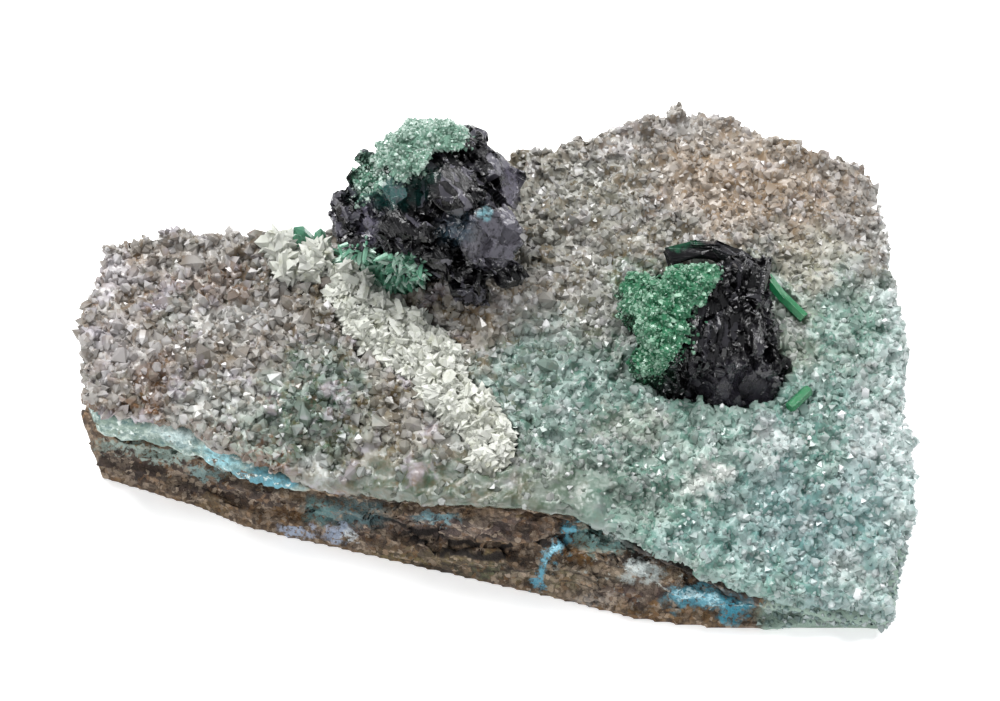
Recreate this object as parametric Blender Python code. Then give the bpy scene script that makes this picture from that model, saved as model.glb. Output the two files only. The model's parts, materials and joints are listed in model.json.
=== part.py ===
"""A clinoatacamite specimen: a slab of brown host rock under a crust of drusy quartz, with two black
crystal clusters, green crystal crusts and a chain of white crystals. It rests on the flat trimmed
underside of its rock. Lengths here are millimetres; each mesh is turned into metres when it is made.
"""

import math
import random

import bmesh
import bpy
from mathutils import Matrix, Vector, noise
from mathutils.bvhtree import BVHTree

MM = 0.001
GAP = 0.3  # clearance kept between two minerals that touch
ROOT_DEPTH = 1.0  # how far the black clusters reach down into the crust
PATCH_DEPTH = 1.2  # thickness of the green crusts that lie on the clusters
SEED = 11
CARPET = (40, 18)  # columns and rows of the lattice of the quartz crust
COARSE = (16, 6)  # columns and rows of the rock and the seam

# The specimen is displayed to a viewer who looks down on it at this angle. Places in the clusters
# are measured as that viewer sees them: to the right, up, and out towards the eye.
DISPLAY_TILT = math.radians(55)

# Plan outline of the crust, left to right and front to back, at evenly spaced stations.
FRONT_EDGE = [
    (-28.0, -11.0), (-22.5, -12.2), (-17.5, -14.6), (-12.0, -16.1), (-6.5, -18.0), (-1.0, -19.0),
    (4.5, -19.3), (10.0, -21.0), (15.5, -22.7), (21.0, -23.2), (26.8, -23.9),
]
BACK_EDGE = [
    (-27.3, 2.6), (-22.4, 3.3), (-17.0, 3.0), (-12.0, 3.4), (-6.0, 6.4), (0.0, 9.1),
    (5.5, 9.7), (10.5, 11.4), (15.0, 12.0), (20.7, 10.3), (26.4, 9.2),
]
LEFT_EDGE = [(-28.0, -11.0), (-29.0, -8.0), (-29.2, -4.6), (-28.5, -1.2), (-27.3, 2.6)]
RIGHT_EDGE = [
    (26.8, -23.9), (26.6, -20.7), (28.5, -17.5), (28.8, -14.2), (28.2, -11.0), (28.1, -7.6),
    (28.6, -4.3), (28.1, -1.0), (27.5, 2.4), (27.1, 5.8), (26.4, 9.2),
]

# Heights and thicknesses at the same stations, left to right, as rows from the front edge back.
ROCK_TOP = [
    (0.0, [5.3, 5.3, 4.8, 4.6, 6.4, 7.2, 7.0, 4.8, 2.2, 0.9, 0.8]),
    (1.0, [5.5, 5.5, 5.5, 6.0, 6.6, 7.2, 8.0, 8.6, 7.6, 5.0, 0.8]),
]
SEAM_THICKNESS = [
    (0.0, [2.4, 2.2, 1.6, 0.6, 0.5, 0.5, 0.6, 0.8, 0.9, 0.5, 0.5]),
    (0.4, [1.2, 1.0, 0.8, 0.6, 0.5, 0.5, 0.5, 0.6, 0.6, 0.5, 0.5]),
    (1.0, [1.0, 0.8, 0.6, 0.5, 0.5, 0.5, 0.5, 0.5, 0.5, 0.5, 0.5]),
]
CRUST_TOP = [
    (0.0, [9.2, 9.0, 8.4, 7.0, 8.5, 9.2, 9.1, 7.4, 5.0, 3.6, 3.2]),
    (0.35, [9.8, 9.8, 9.7, 9.6, 9.8, 10.0, 9.9, 9.7, 9.4, 8.6, 5.8]),
    (1.0, [9.4, 9.6, 9.7, 9.8, 10.2, 11.2, 12.0, 12.8, 12.4, 11.4, 9.2]),
]
# How far the foot of the rock's front stands out past its top edge.
FRONT_SLOPE = [0.5, 0.8, 0.9, 0.8, 0.4, 0.9, 2.1, 2.1, 1.1, 0.4, 0.0]
LEFT_SLOPE = 0.2
OTHER_SLOPE = -0.4  # the right end and the back draw in

# Blocks of the black clusters: place of the centre (right, up, out), direction of the axis in the
# same sense, number of sides, radius, length, and radius of the far end as a share of the near one.
BACK_CENTRE = Vector((-5.1, 1.0, 15.0))
BACK_BLOCKS = [
    ((0.4, 0.8, -0.4), (0.1, 0.3, 1.0), 6, 5.1, 8.4, 0.80),
    ((3.7, -0.8, 1.4), (0.3, -0.3, 0.9), 6, 2.5, 6.4, 0.85),
    ((3.5, 1.6, 0.0), (0.6, 0.4, 0.6), 4, 3.0, 5.2, 0.85),
    ((0.2, 3.7, -0.8), (-0.1, 0.9, 0.4), 6, 3.0, 4.4, 0.80),
    ((-2.5, 1.9, 0.0), (-0.5, 0.4, 0.6), 5, 3.0, 4.6, 0.80),
    ((2.4, 3.9, -0.6), (0.3, 0.9, 0.3), 5, 2.0, 4.0, 0.80),
    ((-4.2, 0.3, 0.2), (-0.8, -0.1, 0.5), 4, 2.0, 4.8, 0.85),
    ((-4.5, -0.8, 0.8), (0.1, 0.5, 0.8), 6, 2.0, 1.7, 0.92),
    ((0.4, -2.0, 1.2), (0.1, -0.6, 0.7), 4, 2.2, 4.0, 0.85),
    ((3.0, -4.0, 0.2), (0.1, -0.9, 0.2), 5, 1.9, 3.8, 0.80),
    ((5.0, -3.2, 0.0), (0.5, -0.6, 0.3), 4, 1.4, 3.6, 0.85),
    ((1.5, 1.4, 3.0), (0.2, 0.5, 0.8), 6, 2.6, 3.6, 0.85),
    ((-1.9, -0.4, 2.6), (-0.2, -0.3, 0.9), 4, 2.2, 4.0, 0.85),
]
BACK_ROOT = ((-3.6, 2.4, 11.2), (0.0, 0.0, 1.0), 6, 3.2, 4.8, 0.95)

FRONT_CENTRE = Vector((13.7, -5.3, 10.6))
FRONT_BLOCKS = [
    ((0.0, 0.0, 0.2), (0.0, 0.2, 1.0), 6, 4.6, 7.6, 0.80),
    ((3.3, 2.3, 0.8), (0.05, 0.9, 0.4), 4, 2.3, 4.6, 0.90),
    ((3.8, -0.6, 0.5), (0.9, 0.1, 0.4), 4, 1.8, 3.4, 0.80),
    ((4.5, -3.1, 0.2), (0.8, -0.3, 0.3), 4, 1.8, 3.2, 0.70),
    ((2.9, -3.3, 0.8), (0.2, -0.5, 0.8), 6, 3.0, 4.0, 0.85),
    ((-0.4, -3.5, 0.6), (-0.1, -0.6, 0.7), 5, 2.9, 4.0, 0.80),
    ((-2.9, -2.8, 0.2), (-0.6, -0.4, 0.5), 4, 2.0, 3.4, 0.80),
    ((2.0, -0.8, 2.2), (0.3, 0.1, 1.0), 6, 2.6, 4.2, 0.85),
    ((-2.8, 1.3, -0.4), (-0.5, 0.2, 0.8), 6, 2.4, 4.0, 0.85),
]

# The crusts and the chain are patches of small crystals. Each patch is the ground covered by a set of
# rounds: centre as the viewer sees it, right and up from the middle of the view, and radius.
CAP_ROUNDS = [
    ((-7.4, 14.0), 1.6), ((-6.3, 14.8), 1.6), ((-5.0, 15.2), 1.6), ((-3.5, 15.1), 1.4),
    ((-6.8, 12.9), 1.4), ((-5.6, 13.9), 1.3),
]
CRUST_ROUNDS = [
    ((10.4, 4.5), 2.0), ((12.4, 5.2), 1.9), ((14.0, 5.3), 1.4), ((9.5, 3.7), 1.4),
    ((10.7, 2.8), 1.8), ((13.2, 4.0), 1.4), ((11.9, 1.4), 1.5), ((10.6, -0.5), 1.4), ((10.5, 1.1), 1.3),
]
FOOT_ROUNDS = [
    ((-10.6, 6.6), 1.2), ((-9.5, 6.2), 1.2), ((-8.4, 5.6), 1.4), ((-7.2, 5.3), 1.5),
    ((-6.2, 5.2), 1.2),
]
CHAIN_ROUNDS = [
    ((-11.2, 5.2), 1.5), ((-10.3, 4.0), 2.1), ((-9.2, 2.6), 2.2), ((-7.9, 1.4), 2.4),
    ((-6.6, 0.7), 2.5), ((-5.2, -0.2), 2.3), ((-4.2, -1.6), 2.0), ((-3.9, -2.8), 2.1),
    ((-2.8, -3.6), 2.0), ((-1.5, -4.0), 1.8), ((-0.7, -5.5), 1.8), ((-0.6, -7.0), 1.7),
]
GROUP_CRYSTALS = [(-15.2, 6.3), (-14.3, 5.4), (-13.3, 6.6), (-12.9, 5.2)]
POINT_CRYSTALS = [(-14.3, 7.2), (-13.6, 7.6), (-12.8, 7.2)]
BLADE_LINE = [(12.0, 6.6), (13.6, 7.1), (15.2, 7.0), (16.8, 6.3), (18.0, 5.4)]
ROD_LINES = [[(18.9, 5.0), (19.9, 3.7), (21.2, 2.4)], [(20.2, -3.9), (21.4, -2.8)]]

# Large quartz crystals that break the outline or stand above the carpet, each with its radius.
RIM_CRYSTALS = [
    ((-19.0, 7.1), 1.00), ((-16.9, 7.2), 0.85), ((-25.2, 7.6), 0.65), ((-22.5, 7.9), 0.70),
    ((-27.4, 6.9), 0.65), ((12.6, 16.6), 0.80), ((10.3, 15.6), 0.65), ((20.8, 13.9), 0.75),
    ((22.9, 13.2), 0.70), ((7.0, 14.2), 0.65), ((26.6, -15.0), 0.70), ((26.6, -18.0), 0.70),
    ((28.4, -11.6), 0.80), ((28.0, -0.2), 0.75), ((27.2, 5.0), 0.70), ((-28.9, 0.8), 0.60),
    ((-28.6, -3.2), 0.60), ((25.8, 11.6), 0.70), ((28.3, -6.2), 0.70), ((-12.4, 1.2), 0.65),
    ((-20.5, 0.9), 0.65), ((-8.9, -6.0), 0.65), ((3.4, -5.6), 0.60), ((8.6, -9.4), 0.65),
    ((18.0, 9.0), 0.60), ((3.0, 8.0), 0.60), ((-15.8, -4.2), 0.60), ((20.4, -8.6), 0.65),
    ((9.6, 10.8), 0.60), ((24.0, 4.0), 0.60), ((-24.4, -1.2), 0.60), ((14.6, -12.2), 0.60),
]


def along(values, share):
    """The value at a share of the way along evenly spaced stations, carried on straight past the ends."""
    spans = len(values) - 1
    index = min(max(math.floor(share * spans), 0), spans - 1)
    rest = share * spans - index
    return values[index] * (1 - rest) + values[index + 1] * rest


def edge_point(edge, share):
    return along([Vector(point) for point in edge], share)


def plan(s, t):
    """Point of the plan, from the four edges: s runs left to right and t front to back."""
    sides = (
        edge_point(FRONT_EDGE, s) * (1 - t) + edge_point(BACK_EDGE, s) * t
        + edge_point(LEFT_EDGE, t) * (1 - s) + edge_point(RIGHT_EDGE, t) * s
    )
    corners = (
        Vector(FRONT_EDGE[0]) * (1 - s) * (1 - t) + Vector(FRONT_EDGE[-1]) * s * (1 - t)
        + Vector(BACK_EDGE[0]) * (1 - s) * t + Vector(BACK_EDGE[-1]) * s * t
    )
    return sides - corners


def field(rows, s, t):
    """Value of a table of rows at s and t, eased from row to row."""
    for (t_near, near), (t_far, far) in zip(rows, rows[1:]):
        if t <= t_far or (t_far, far) == rows[-1]:
            share = min(max((t - t_near) / (t_far - t_near), 0.0), 1.0)
            eased = share * share * (3 - 2 * share)
            return along(near, s) * (1 - eased) + along(far, s) * eased


def rock_top(s, t):
    return field(ROCK_TOP, s, t)


def seam_floor(s, t):
    return rock_top(s, t) + GAP


def seam_top(s, t):
    return seam_floor(s, t) + field(SEAM_THICKNESS, s, t)


def crust_floor(s, t):
    return seam_top(s, t) + GAP


def crust_top(s, t):
    return field(CRUST_TOP, s, t)


def seen(point):
    """Where the viewer sees a point: right and up."""
    return Vector((point.x, point.y * math.sin(DISPLAY_TILT) + point.z * math.cos(DISPLAY_TILT)))


def on_crust(place, rise=0.0):
    """The point at this height over the crust that the viewer sees at a place."""
    lift = Vector((0, 0, rise))
    nearest = min(crust_points, key=lambda point: (seen(point + lift) - Vector(place)).length)
    right, up = place
    height = nearest.z + rise
    return Vector((right, (up - height * math.cos(DISPLAY_TILT)) / math.sin(DISPLAY_TILT), height))


def roughness(point, size, amount, layer=0.0):
    """Smooth unevenness of about this amount, in lumps of about this size."""
    return amount * noise.noise(Vector((point[0] / size, point[1] / size, point[2] / size + layer)))


def outward(s, t):
    """Direction out of the slab at a point of its edge."""
    return Vector(((s >= 1) - (s <= 0), (t >= 1) - (t <= 0))).normalized()


def stations(count, past=0.0):
    """Evenly spaced shares from 0 to 1, with one more at each end if they run past the edge."""
    inside = [i / count for i in range(count + 1)]
    return [-past, *inside, 1 + past] if past else inside


def facing(right, up, out):
    """Offset as the viewer sees it, turned into x, y, z."""
    sin, cos = math.sin(DISPLAY_TILT), math.cos(DISPLAY_TILT)
    return Vector((right, up * sin - out * cos, up * cos + out * sin))


def collection(name, parent, hidden=False):
    made = bpy.data.collections.new(name)
    parent.children.link(made)
    made.hide_render = hidden
    return made


def material(name, colour, roughness_value, metallic=0.0):
    made = bpy.data.materials.new(name)
    made.use_nodes = True
    shader = made.node_tree.nodes["Principled BSDF"]
    shader.inputs["Base Color"].default_value = (*colour, 1.0)
    shader.inputs["Roughness"].default_value = roughness_value
    shader.inputs["Metallic"].default_value = metallic
    return made


def add_object(name, mesh, group, finish=None):
    """The bmesh, in millimetres, as a named object in metres."""
    bmesh.ops.recalc_face_normals(mesh, faces=mesh.faces)
    if mesh.calc_volume(signed=True) < 0:
        bmesh.ops.reverse_faces(mesh, faces=mesh.faces)
    data = bpy.data.meshes.new(name)
    mesh.to_mesh(data)
    mesh.free()
    data.transform(Matrix.Scale(MM, 4))
    made = bpy.data.objects.new(name, data)
    group.objects.link(made)
    if finish:
        data.materials.append(finish)
    else:
        made.hide_render = True
        made.display_type = "WIRE"
    return made


def boolean(target, operation, group):
    modifier = target.modifiers.new(group.name, "BOOLEAN")
    modifier.operation = operation
    modifier.operand_type = "COLLECTION"
    modifier.collection = group
    modifier.solver = "EXACT"


def sheet(columns, rows, height):
    """A grid over the plan, with a list of its points as (vertex, s, t)."""
    mesh = bmesh.new()
    bmesh.ops.create_grid(mesh, x_segments=len(columns) - 1, y_segments=len(rows) - 1, size=0.5)
    mesh.verts.ensure_lookup_table()
    points = []
    for vertex in mesh.verts:
        s = columns[round((vertex.co.x + 0.5) * (len(columns) - 1))]
        t = rows[round((vertex.co.y + 0.5) * (len(rows) - 1))]
        points.append((vertex, s, t))
    for vertex, s, t in points:
        vertex.co = (*plan(s, t), height(s, t))
    return mesh, points


def wall_down(mesh, points, rings):
    """Walls from the sheet's edge, one ring at a time, closed by a flat face below the last one."""
    places = {vertex: (s, t) for vertex, s, t in points}
    edges = [edge for edge in mesh.edges if edge.is_boundary]
    for ring in rings:
        extruded = bmesh.ops.extrude_edge_only(mesh, edges=edges)["geom"]
        fresh = {item for item in extruded if isinstance(item, bmesh.types.BMVert)}
        edges = [item for item in extruded if isinstance(item, bmesh.types.BMEdge) and item.is_boundary]
        above = {
            vertex: next(places[other] for edge in vertex.link_edges
                         if (other := edge.other_vert(vertex)) in places)
            for vertex in fresh
        }
        for vertex, (s, t) in above.items():
            offset, height = ring(s, t)
            vertex.co = (*(plan(s, t) + outward(s, t) * offset), height)
        places.update(above)
    bmesh.ops.contextual_create(mesh, geom=edges)


def crystal(foot, lean, radius, shaft, tip=0.0, sides=6, taper=1.0, roll=0.0, skin=0.0):
    """A crystal as a bmesh: a prism from its foot along lean, with a point at its far end. skin grows
    it all round, for the socket that a neighbour keeps around it."""
    grow = skin / math.cos(math.pi / sides)
    far_radius = radius * taper
    mesh = bmesh.new()
    bmesh.ops.create_cone(
        mesh, cap_ends=True, segments=sides, radius1=radius + grow, radius2=far_radius + grow,
        depth=shaft + 2 * skin, matrix=Matrix.Translation((0, 0, shaft / 2)),
    )
    if tip:
        top = max(mesh.faces, key=lambda face: face.calc_center_median().z)
        bmesh.ops.poke(mesh, faces=[top], offset=tip * (far_radius + grow) / far_radius)
    turn = Vector((0, 0, 1)).rotation_difference(lean).to_matrix().to_4x4()
    mesh.transform(Matrix.Translation(foot) @ turn @ Matrix.Rotation(roll, 4, "Z"))
    return mesh


def intergrown(name, crystals, group, finish=None, skin=0.0):
    """Crystals grown together into one solid."""
    first, *others = crystals
    made = add_object(name, crystal(**first, skin=skin), group, finish)
    if others:
        parts = collection(name + "_crystals", helpers, hidden=True)
        for number, spec in enumerate(others):
            add_object(f"{name}_{number}", crystal(**spec, skin=skin), parts)
        boolean(made, "UNION", parts)
    return made


def mineral(name, crystals, finish, own_sockets, cut_by):
    """A solid of crystals, cut back by the sockets of minerals it grew against. Returns its own socket."""
    made = intergrown(name, crystals, specimen, finish)
    for group in cut_by:
        boolean(made, "DIFFERENCE", group)
    return intergrown(name + "_socket", crystals, own_sockets, skin=GAP)


def block_spec(centre, axis, sides, radius, length, taper, turn):
    lean = Vector(axis).normalized()
    return {
        "foot": centre - lean * length / 2, "lean": lean, "radius": radius, "shaft": length,
        "sides": sides, "taper": taper, "roll": turn,
    }


def black_cluster(name, centre, blocks, root=None):
    """Stout dark crystals that share one heart, with a root that sits in the crust."""
    draw = random.Random(name)
    specs = [
        block_spec(centre + facing(*place), facing(*axis), sides, radius, length, taper,
                   draw.uniform(0, math.pi))
        for place, axis, sides, radius, length, taper in blocks
    ]
    if root:
        place, *rest = root
        specs.append(block_spec(Vector(place), *rest, 0.2))
    socket = mineral(name, specs, black, cluster_sockets, [root_ground])
    boolean(socket, "DIFFERENCE", socket_ground)
    return socket


def keep_largest(mesh):
    """Drops every island of the mesh except the one with the most vertices."""
    left, islands = set(mesh.verts), []
    while left:
        island, edge_of = set(), [left.pop()]
        while edge_of:
            vertex = edge_of.pop()
            island.add(vertex)
            fresh = {edge.other_vert(vertex) for edge in vertex.link_edges} & left
            left -= fresh
            edge_of += fresh
        islands.append(island)
    largest = max(islands, key=len)
    bmesh.ops.delete(mesh, geom=[v for v in mesh.verts if v not in largest], context="VERTS")


def triangle_lattice(columns, rows):
    """A grid cut into triangles as a lattice, and its vertices by column and row."""
    mesh = bmesh.new()
    bmesh.ops.create_grid(mesh, x_segments=columns, y_segments=rows, size=0.5)
    lattice = {
        (round((vertex.co.x + 0.5) * columns), round((vertex.co.y + 0.5) * rows)): vertex
        for vertex in mesh.verts
    }
    for i in range(columns):
        for j in range(rows):
            near, far = ((i, j), (i + 1, j + 1)) if j % 2 else ((i + 1, j), (i, j + 1))
            bmesh.ops.connect_verts(mesh, verts=[lattice[near], lattice[far]])
    return mesh, lattice


def raised(i, j):
    """Every third vertex of the lattice, so that each raised one is ringed by six low ones."""
    return (i - j // 2 - j) % 3 == 0


def mitre(vertex):
    """How far to move a corner of a flat outline for each unit that its two edges move out."""
    before, after = [
        edge for edge in vertex.link_edges if len(edge.link_faces) == 1
    ]
    normals = []
    for edge in (before, after):
        along_edge = (edge.verts[1].co - edge.verts[0].co).xy.normalized()
        normal = Vector((along_edge.y, -along_edge.x))
        middle = (edge.verts[0].co + edge.verts[1].co).xy / 2
        inside = edge.link_faces[0].calc_center_median().xy - middle
        normals.append(-normal if normal.dot(inside) > 0 else normal)
    return (normals[0] + normals[1]) / (1 + normals[0].dot(normals[1]))


def patch(rounds, cell, jag, seed, surface, floor, frame, skin=0.0):
    """A crust of small points over the ground covered by some rounds. It has walls down to a flat floor,
    or with no floor an even thickness. The frame turns its coordinates into those of the specimen."""
    low = Vector([min(centre[k] - radius for centre, radius in rounds) for k in (0, 1)])
    high = Vector([max(centre[k] + radius for centre, radius in rounds) for k in (0, 1)])
    row = cell * math.sqrt(3) / 2
    columns, rows = math.ceil((high.x - low.x) / cell) + 1, math.ceil((high.y - low.y) / row) + 1
    draw = random.Random(seed)
    mesh, lattice = triangle_lattice(columns, rows)
    peaks = {}
    for (i, j), vertex in lattice.items():
        wander = Vector((draw.uniform(-0.12, 0.12), draw.uniform(-0.12, 0.12))) * cell
        place = low + Vector(((i + 0.5 * (j % 2) - 0.5) * cell, (j - 0.5) * row)) + wander
        vertex.co = (*place, 0.0)
        peaks[vertex] = jag * draw.uniform(0.6, 1.1) if raised(i, j) else draw.uniform(0.1, 0.3)
    outside = [
        vertex for vertex in mesh.verts
        if all((vertex.co.xy - Vector(centre)).length > radius for centre, radius in rounds)
        or surface(vertex.co.xy) is None
    ]
    bmesh.ops.delete(mesh, geom=outside, context="VERTS")
    while True:
        knots = [
            vertex for vertex in mesh.verts
            if not vertex.link_faces or sum(edge.is_boundary for edge in vertex.link_edges) > 2
        ]
        if not knots:
            break
        bmesh.ops.delete(mesh, geom=knots, context="VERTS")
    keep_largest(mesh)
    rim = {vertex for vertex in mesh.verts if vertex.is_boundary}
    moves = {vertex: mitre(vertex) * skin for vertex in rim}
    grounds = {vertex: surface(vertex.co.xy) for vertex in mesh.verts}
    if floor is None:
        extruded = bmesh.ops.extrude_face_region(mesh, geom=mesh.faces[:], use_keep_orig=True)["geom"]
        lower = [item for item in extruded if isinstance(item, bmesh.types.BMVert)]
        below = {(vertex.co.x, vertex.co.y): vertex for vertex in lower}
        for vertex, ground in grounds.items():
            below[vertex.co.x, vertex.co.y].co.z = ground - PATCH_DEPTH - skin
    else:
        edges = [edge for edge in mesh.edges if edge.is_boundary]
        extruded = bmesh.ops.extrude_edge_only(mesh, edges=edges)["geom"]
        lower = [item for item in extruded if isinstance(item, bmesh.types.BMVert)]
        for vertex in lower:
            vertex.co.z = floor - skin
        base = [item for item in extruded if isinstance(item, bmesh.types.BMEdge) and item.is_boundary]
        bmesh.ops.contextual_create(mesh, geom=base)
    spots = {(vertex.co.x, vertex.co.y): move for vertex, move in moves.items()}
    for vertex, ground in grounds.items():
        vertex.co.z = ground + (0.15 if vertex in rim else peaks[vertex]) + skin * 1.5
    for vertex in mesh.verts:
        vertex.co.xy += spots.get((vertex.co.x, vertex.co.y), Vector((0, 0)))
    mesh.transform(frame)
    return mesh


def on_plan(rounds):
    """Rounds given as the viewer sees them, moved to where they lie on the crust's plan."""
    return [(on_crust(centre).xy, radius) for centre, radius in rounds]


def crust_surface(place):
    """Height of the crust's top over a place in plan."""
    return min(crust_points, key=lambda point: (point.xy - place).length).z


def cluster_surface(socket):
    """Gives how far out a cluster's socket reaches towards the viewer at a place in the view, or None
    where the place is off the cluster."""
    bpy.context.view_layer.update()
    tree = BVHTree.FromObject(socket, bpy.context.evaluated_depsgraph_get())
    away = facing(0, 0, 1)

    def reach(right, up):
        hit = tree.ray_cast((facing(right, up, 0) + away * 60) * MM, -away)[0]
        return (hit / MM).dot(away) if hit else -math.inf

    def surface(place):
        near = 0.4
        if reach(place.x, place.y) == -math.inf:
            return None
        sides = ((0, 0), (near, 0), (-near, 0), (0, near), (0, -near))
        return max(reach(place.x + right, place.y + up) for right, up in sides) + 0.15

    return surface


def patch_mineral(name, finish, own_sockets, cut_by, *shape):
    """A patch, cut back by the sockets of minerals that it grew against. Returns its own socket."""
    made = add_object(name, patch(*shape), specimen, finish)
    for group in cut_by:
        boolean(made, "DIFFERENCE", group)
    return add_object(name + "_socket", patch(*shape, skin=GAP), own_sockets)


def point_specs(places, radius, height, seed, spread=0.5):
    """Pointed crystals that stand on the crust and grow out of one another."""
    draw = random.Random(seed)
    specs = []
    for place in places:
        lean = Vector((draw.uniform(-spread, spread), draw.uniform(-spread, spread), 1.0)).normalized()
        size = radius * draw.uniform(0.85, 1.15)
        specs.append({
            "foot": on_crust(place, -1.0), "lean": lean, "radius": size, "shaft": 1.0 + height * 0.5,
            "tip": height * 0.6, "sides": 6, "taper": 0.85, "roll": draw.uniform(0, math.pi),
        })
    return specs


def bar_spec(start, end, radius, overlap, sides):
    lean = (end - start).normalized()
    return {
        "foot": start - lean * overlap, "lean": lean, "radius": radius,
        "shaft": (end - start).length + 2 * overlap, "sides": sides,
    }


def line_specs(places, rise, radius, sides):
    """Bars laid end to end over the crust."""
    line = [on_crust(place, rise) for place in places]
    return [bar_spec(start, end, radius, radius * 0.4, sides) for start, end in zip(line, line[1:])]


def upright_spec(foot, radius, seed, spread=0.35):
    """A quartz point that stands on the crust, leaning a little."""
    draw = random.Random(seed)
    lean = Vector((draw.uniform(-spread, spread), draw.uniform(-spread, spread), 1.0)).normalized()
    return {
        "foot": foot - lean * 0.9, "lean": lean, "radius": radius, "shaft": 0.9 + radius * 0.7,
        "tip": radius * 1.3, "taper": 0.9, "roll": draw.uniform(0, math.pi),
    }


def make_host_rock():
    """The rock slab: broken sides that step out in ledges towards a flat trimmed underside."""
    mesh, points = sheet(stations(COARSE[0]), stations(COARSE[1]), rock_top)

    def ledge(share, step, layer):
        def ring(s, t):
            slope = along(FRONT_SLOPE, s) if t <= 0 < s < 1 else LEFT_SLOPE if s <= 0 else OTHER_SLOPE
            height = rock_top(s, t) * (1 - share)
            rough = roughness((*plan(s, t), height), 2.2, 0.6, layer) if share < 1 else 0.0
            return slope * share + step * min(rock_top(s, t) / 5, 1) + rough, height
        return ring

    wall_down(mesh, points, [
        ledge(0.25, 0.25, 1.0), ledge(0.45, -0.35, 4.0), ledge(0.6, 0.35, 7.0), ledge(1.0, 0.0, 0.0),
    ])
    add_object("host_rock", mesh, specimen, brown)


def make_seam():
    """The thin blue-green layer between rock and quartz."""
    mesh, points = sheet(stations(COARSE[0]), stations(COARSE[1]), seam_top)
    copied = bmesh.ops.extrude_face_region(mesh, geom=mesh.faces[:], use_keep_orig=True)["geom"]
    lower = [item for item in copied if isinstance(item, bmesh.types.BMVert)]
    by_place = {(round(v.co.x, 4), round(v.co.y, 4)): place for v, *place in points}
    for vertex in lower:
        s, t = by_place[(round(vertex.co.x, 4), round(vertex.co.y, 4))]
        vertex.co.z = seam_floor(s, t)
    add_object("chrysocolla_seam", mesh, specimen, turquoise)


def make_ground(name, height, group):
    """Everything below a height, run past the slab's edges so that it cuts cleanly."""
    mesh, points = sheet(stations(COARSE[0], past=0.06), stations(COARSE[1], past=0.12), height)
    wall_down(mesh, points, [lambda s, t: (0.0, -1.0)])
    add_object(name, mesh, group)


def make_druse(rim):
    """The quartz crust, whose top is a carpet of six-sided points."""
    columns, rows = CARPET
    draw = random.Random(SEED)
    mesh, lattice = triangle_lattice(columns, rows)
    points = []
    for (i, j), vertex in lattice.items():
        inside_s, inside_t = 0 < i < columns, 0 < j < rows
        s = (i + (0.5 * (j % 2) + draw.uniform(-0.25, 0.25)) * inside_s) / columns
        t = (j + draw.uniform(-0.25, 0.25) * inside_t) / rows
        coarse = 1.0 - 0.4 * s
        peak = draw.uniform(0.45, 1.05) * coarse if raised(i, j) else -draw.uniform(0.0, 0.25)
        vertex.co = (*plan(s, t), crust_top(s, t) + peak)
        points.append((vertex, s, t))

    def shoulder(share):
        def ring(s, t):
            height = crust_top(s, t) * (1 - share) + crust_floor(s, t) * share
            return draw.uniform(0.0, 0.35), height + draw.uniform(-0.15, 0.15)
        return ring

    wall_down(mesh, points, [shoulder(0.3), shoulder(0.65), lambda s, t: (0.0, 0.2)])
    made = add_object("quartz_druse", mesh, specimen, quartz)
    boolean(made, "UNION", rim)
    boolean(made, "DIFFERENCE", sockets)
    return made


def rim_specs():
    """The named large crystals, then smaller ones along the back and right edges."""
    specs = [
        upright_spec(on_crust(place), radius, number)
        for number, (place, radius) in enumerate(RIM_CRYSTALS)
    ]
    draw = random.Random(SEED + 1)
    count = 12
    for number in range(count):
        share = (number + draw.uniform(0.2, 0.8)) / count
        s, t = (share * 2, 0.985) if share < 0.5 else (0.99, share * 2 - 1)
        foot = Vector((*plan(s, t), crust_top(s, t) - draw.uniform(0.2, 0.6)))
        specs.append(upright_spec(foot, draw.uniform(0.4, 0.6), 100 + number, 0.6))
    return specs


def clear_scraps(obj):
    """Applies the object's Booleans and drops the loose scraps that they leave."""
    bpy.context.view_layer.update()
    evaluated = obj.evaluated_get(bpy.context.evaluated_depsgraph_get())
    mesh = bmesh.new()
    mesh.from_mesh(bpy.data.meshes.new_from_object(evaluated))
    keep_largest(mesh)
    mesh.to_mesh(obj.data)
    mesh.free()
    obj.modifiers.clear()


def seat(objects):
    """Moves the whole specimen so that the middle of its underside is at the origin."""
    corners = [Vector(corner) for obj in objects for corner in obj.bound_box]
    low, high = [Vector([pick(corner[k] for corner in corners) for k in range(3)]) for pick in (min, max)]
    for obj in bpy.data.objects:
        obj.location = -Vector(((low.x + high.x) / 2, (low.y + high.y) / 2, low.z))


for old in list(bpy.data.objects):
    bpy.data.objects.remove(old)

specimen = collection("clinoatacamite_specimen", bpy.context.scene.collection)
helpers = collection("helpers", bpy.context.scene.collection, hidden=True)
sockets = collection("sockets", helpers, hidden=True)
cluster_sockets = collection("cluster_sockets", sockets, hidden=True)
blade_sockets = collection("blade_sockets", sockets, hidden=True)
green_sockets = collection("green_sockets", sockets, hidden=True)
white_sockets = collection("white_sockets", sockets, hidden=True)
group_sockets = collection("group_sockets", sockets, hidden=True)
crust_points = [
    Vector((*plan(s / 120, t / 60), crust_top(s / 120, t / 60))) for s in range(121) for t in range(61)
]

brown = material("host_rock", (0.13, 0.10, 0.07), 0.85)
turquoise = material("chrysocolla", (0.35, 0.62, 0.66), 0.7)
quartz = material("drusy_quartz", (0.50, 0.55, 0.49), 0.25)
black = material("clinoatacamite", (0.012, 0.014, 0.015), 0.2)
green = material("green_crystals", (0.10, 0.36, 0.22), 0.3)
white = material("white_crystals", (0.68, 0.70, 0.63), 0.45)

make_host_rock()
make_seam()

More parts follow.
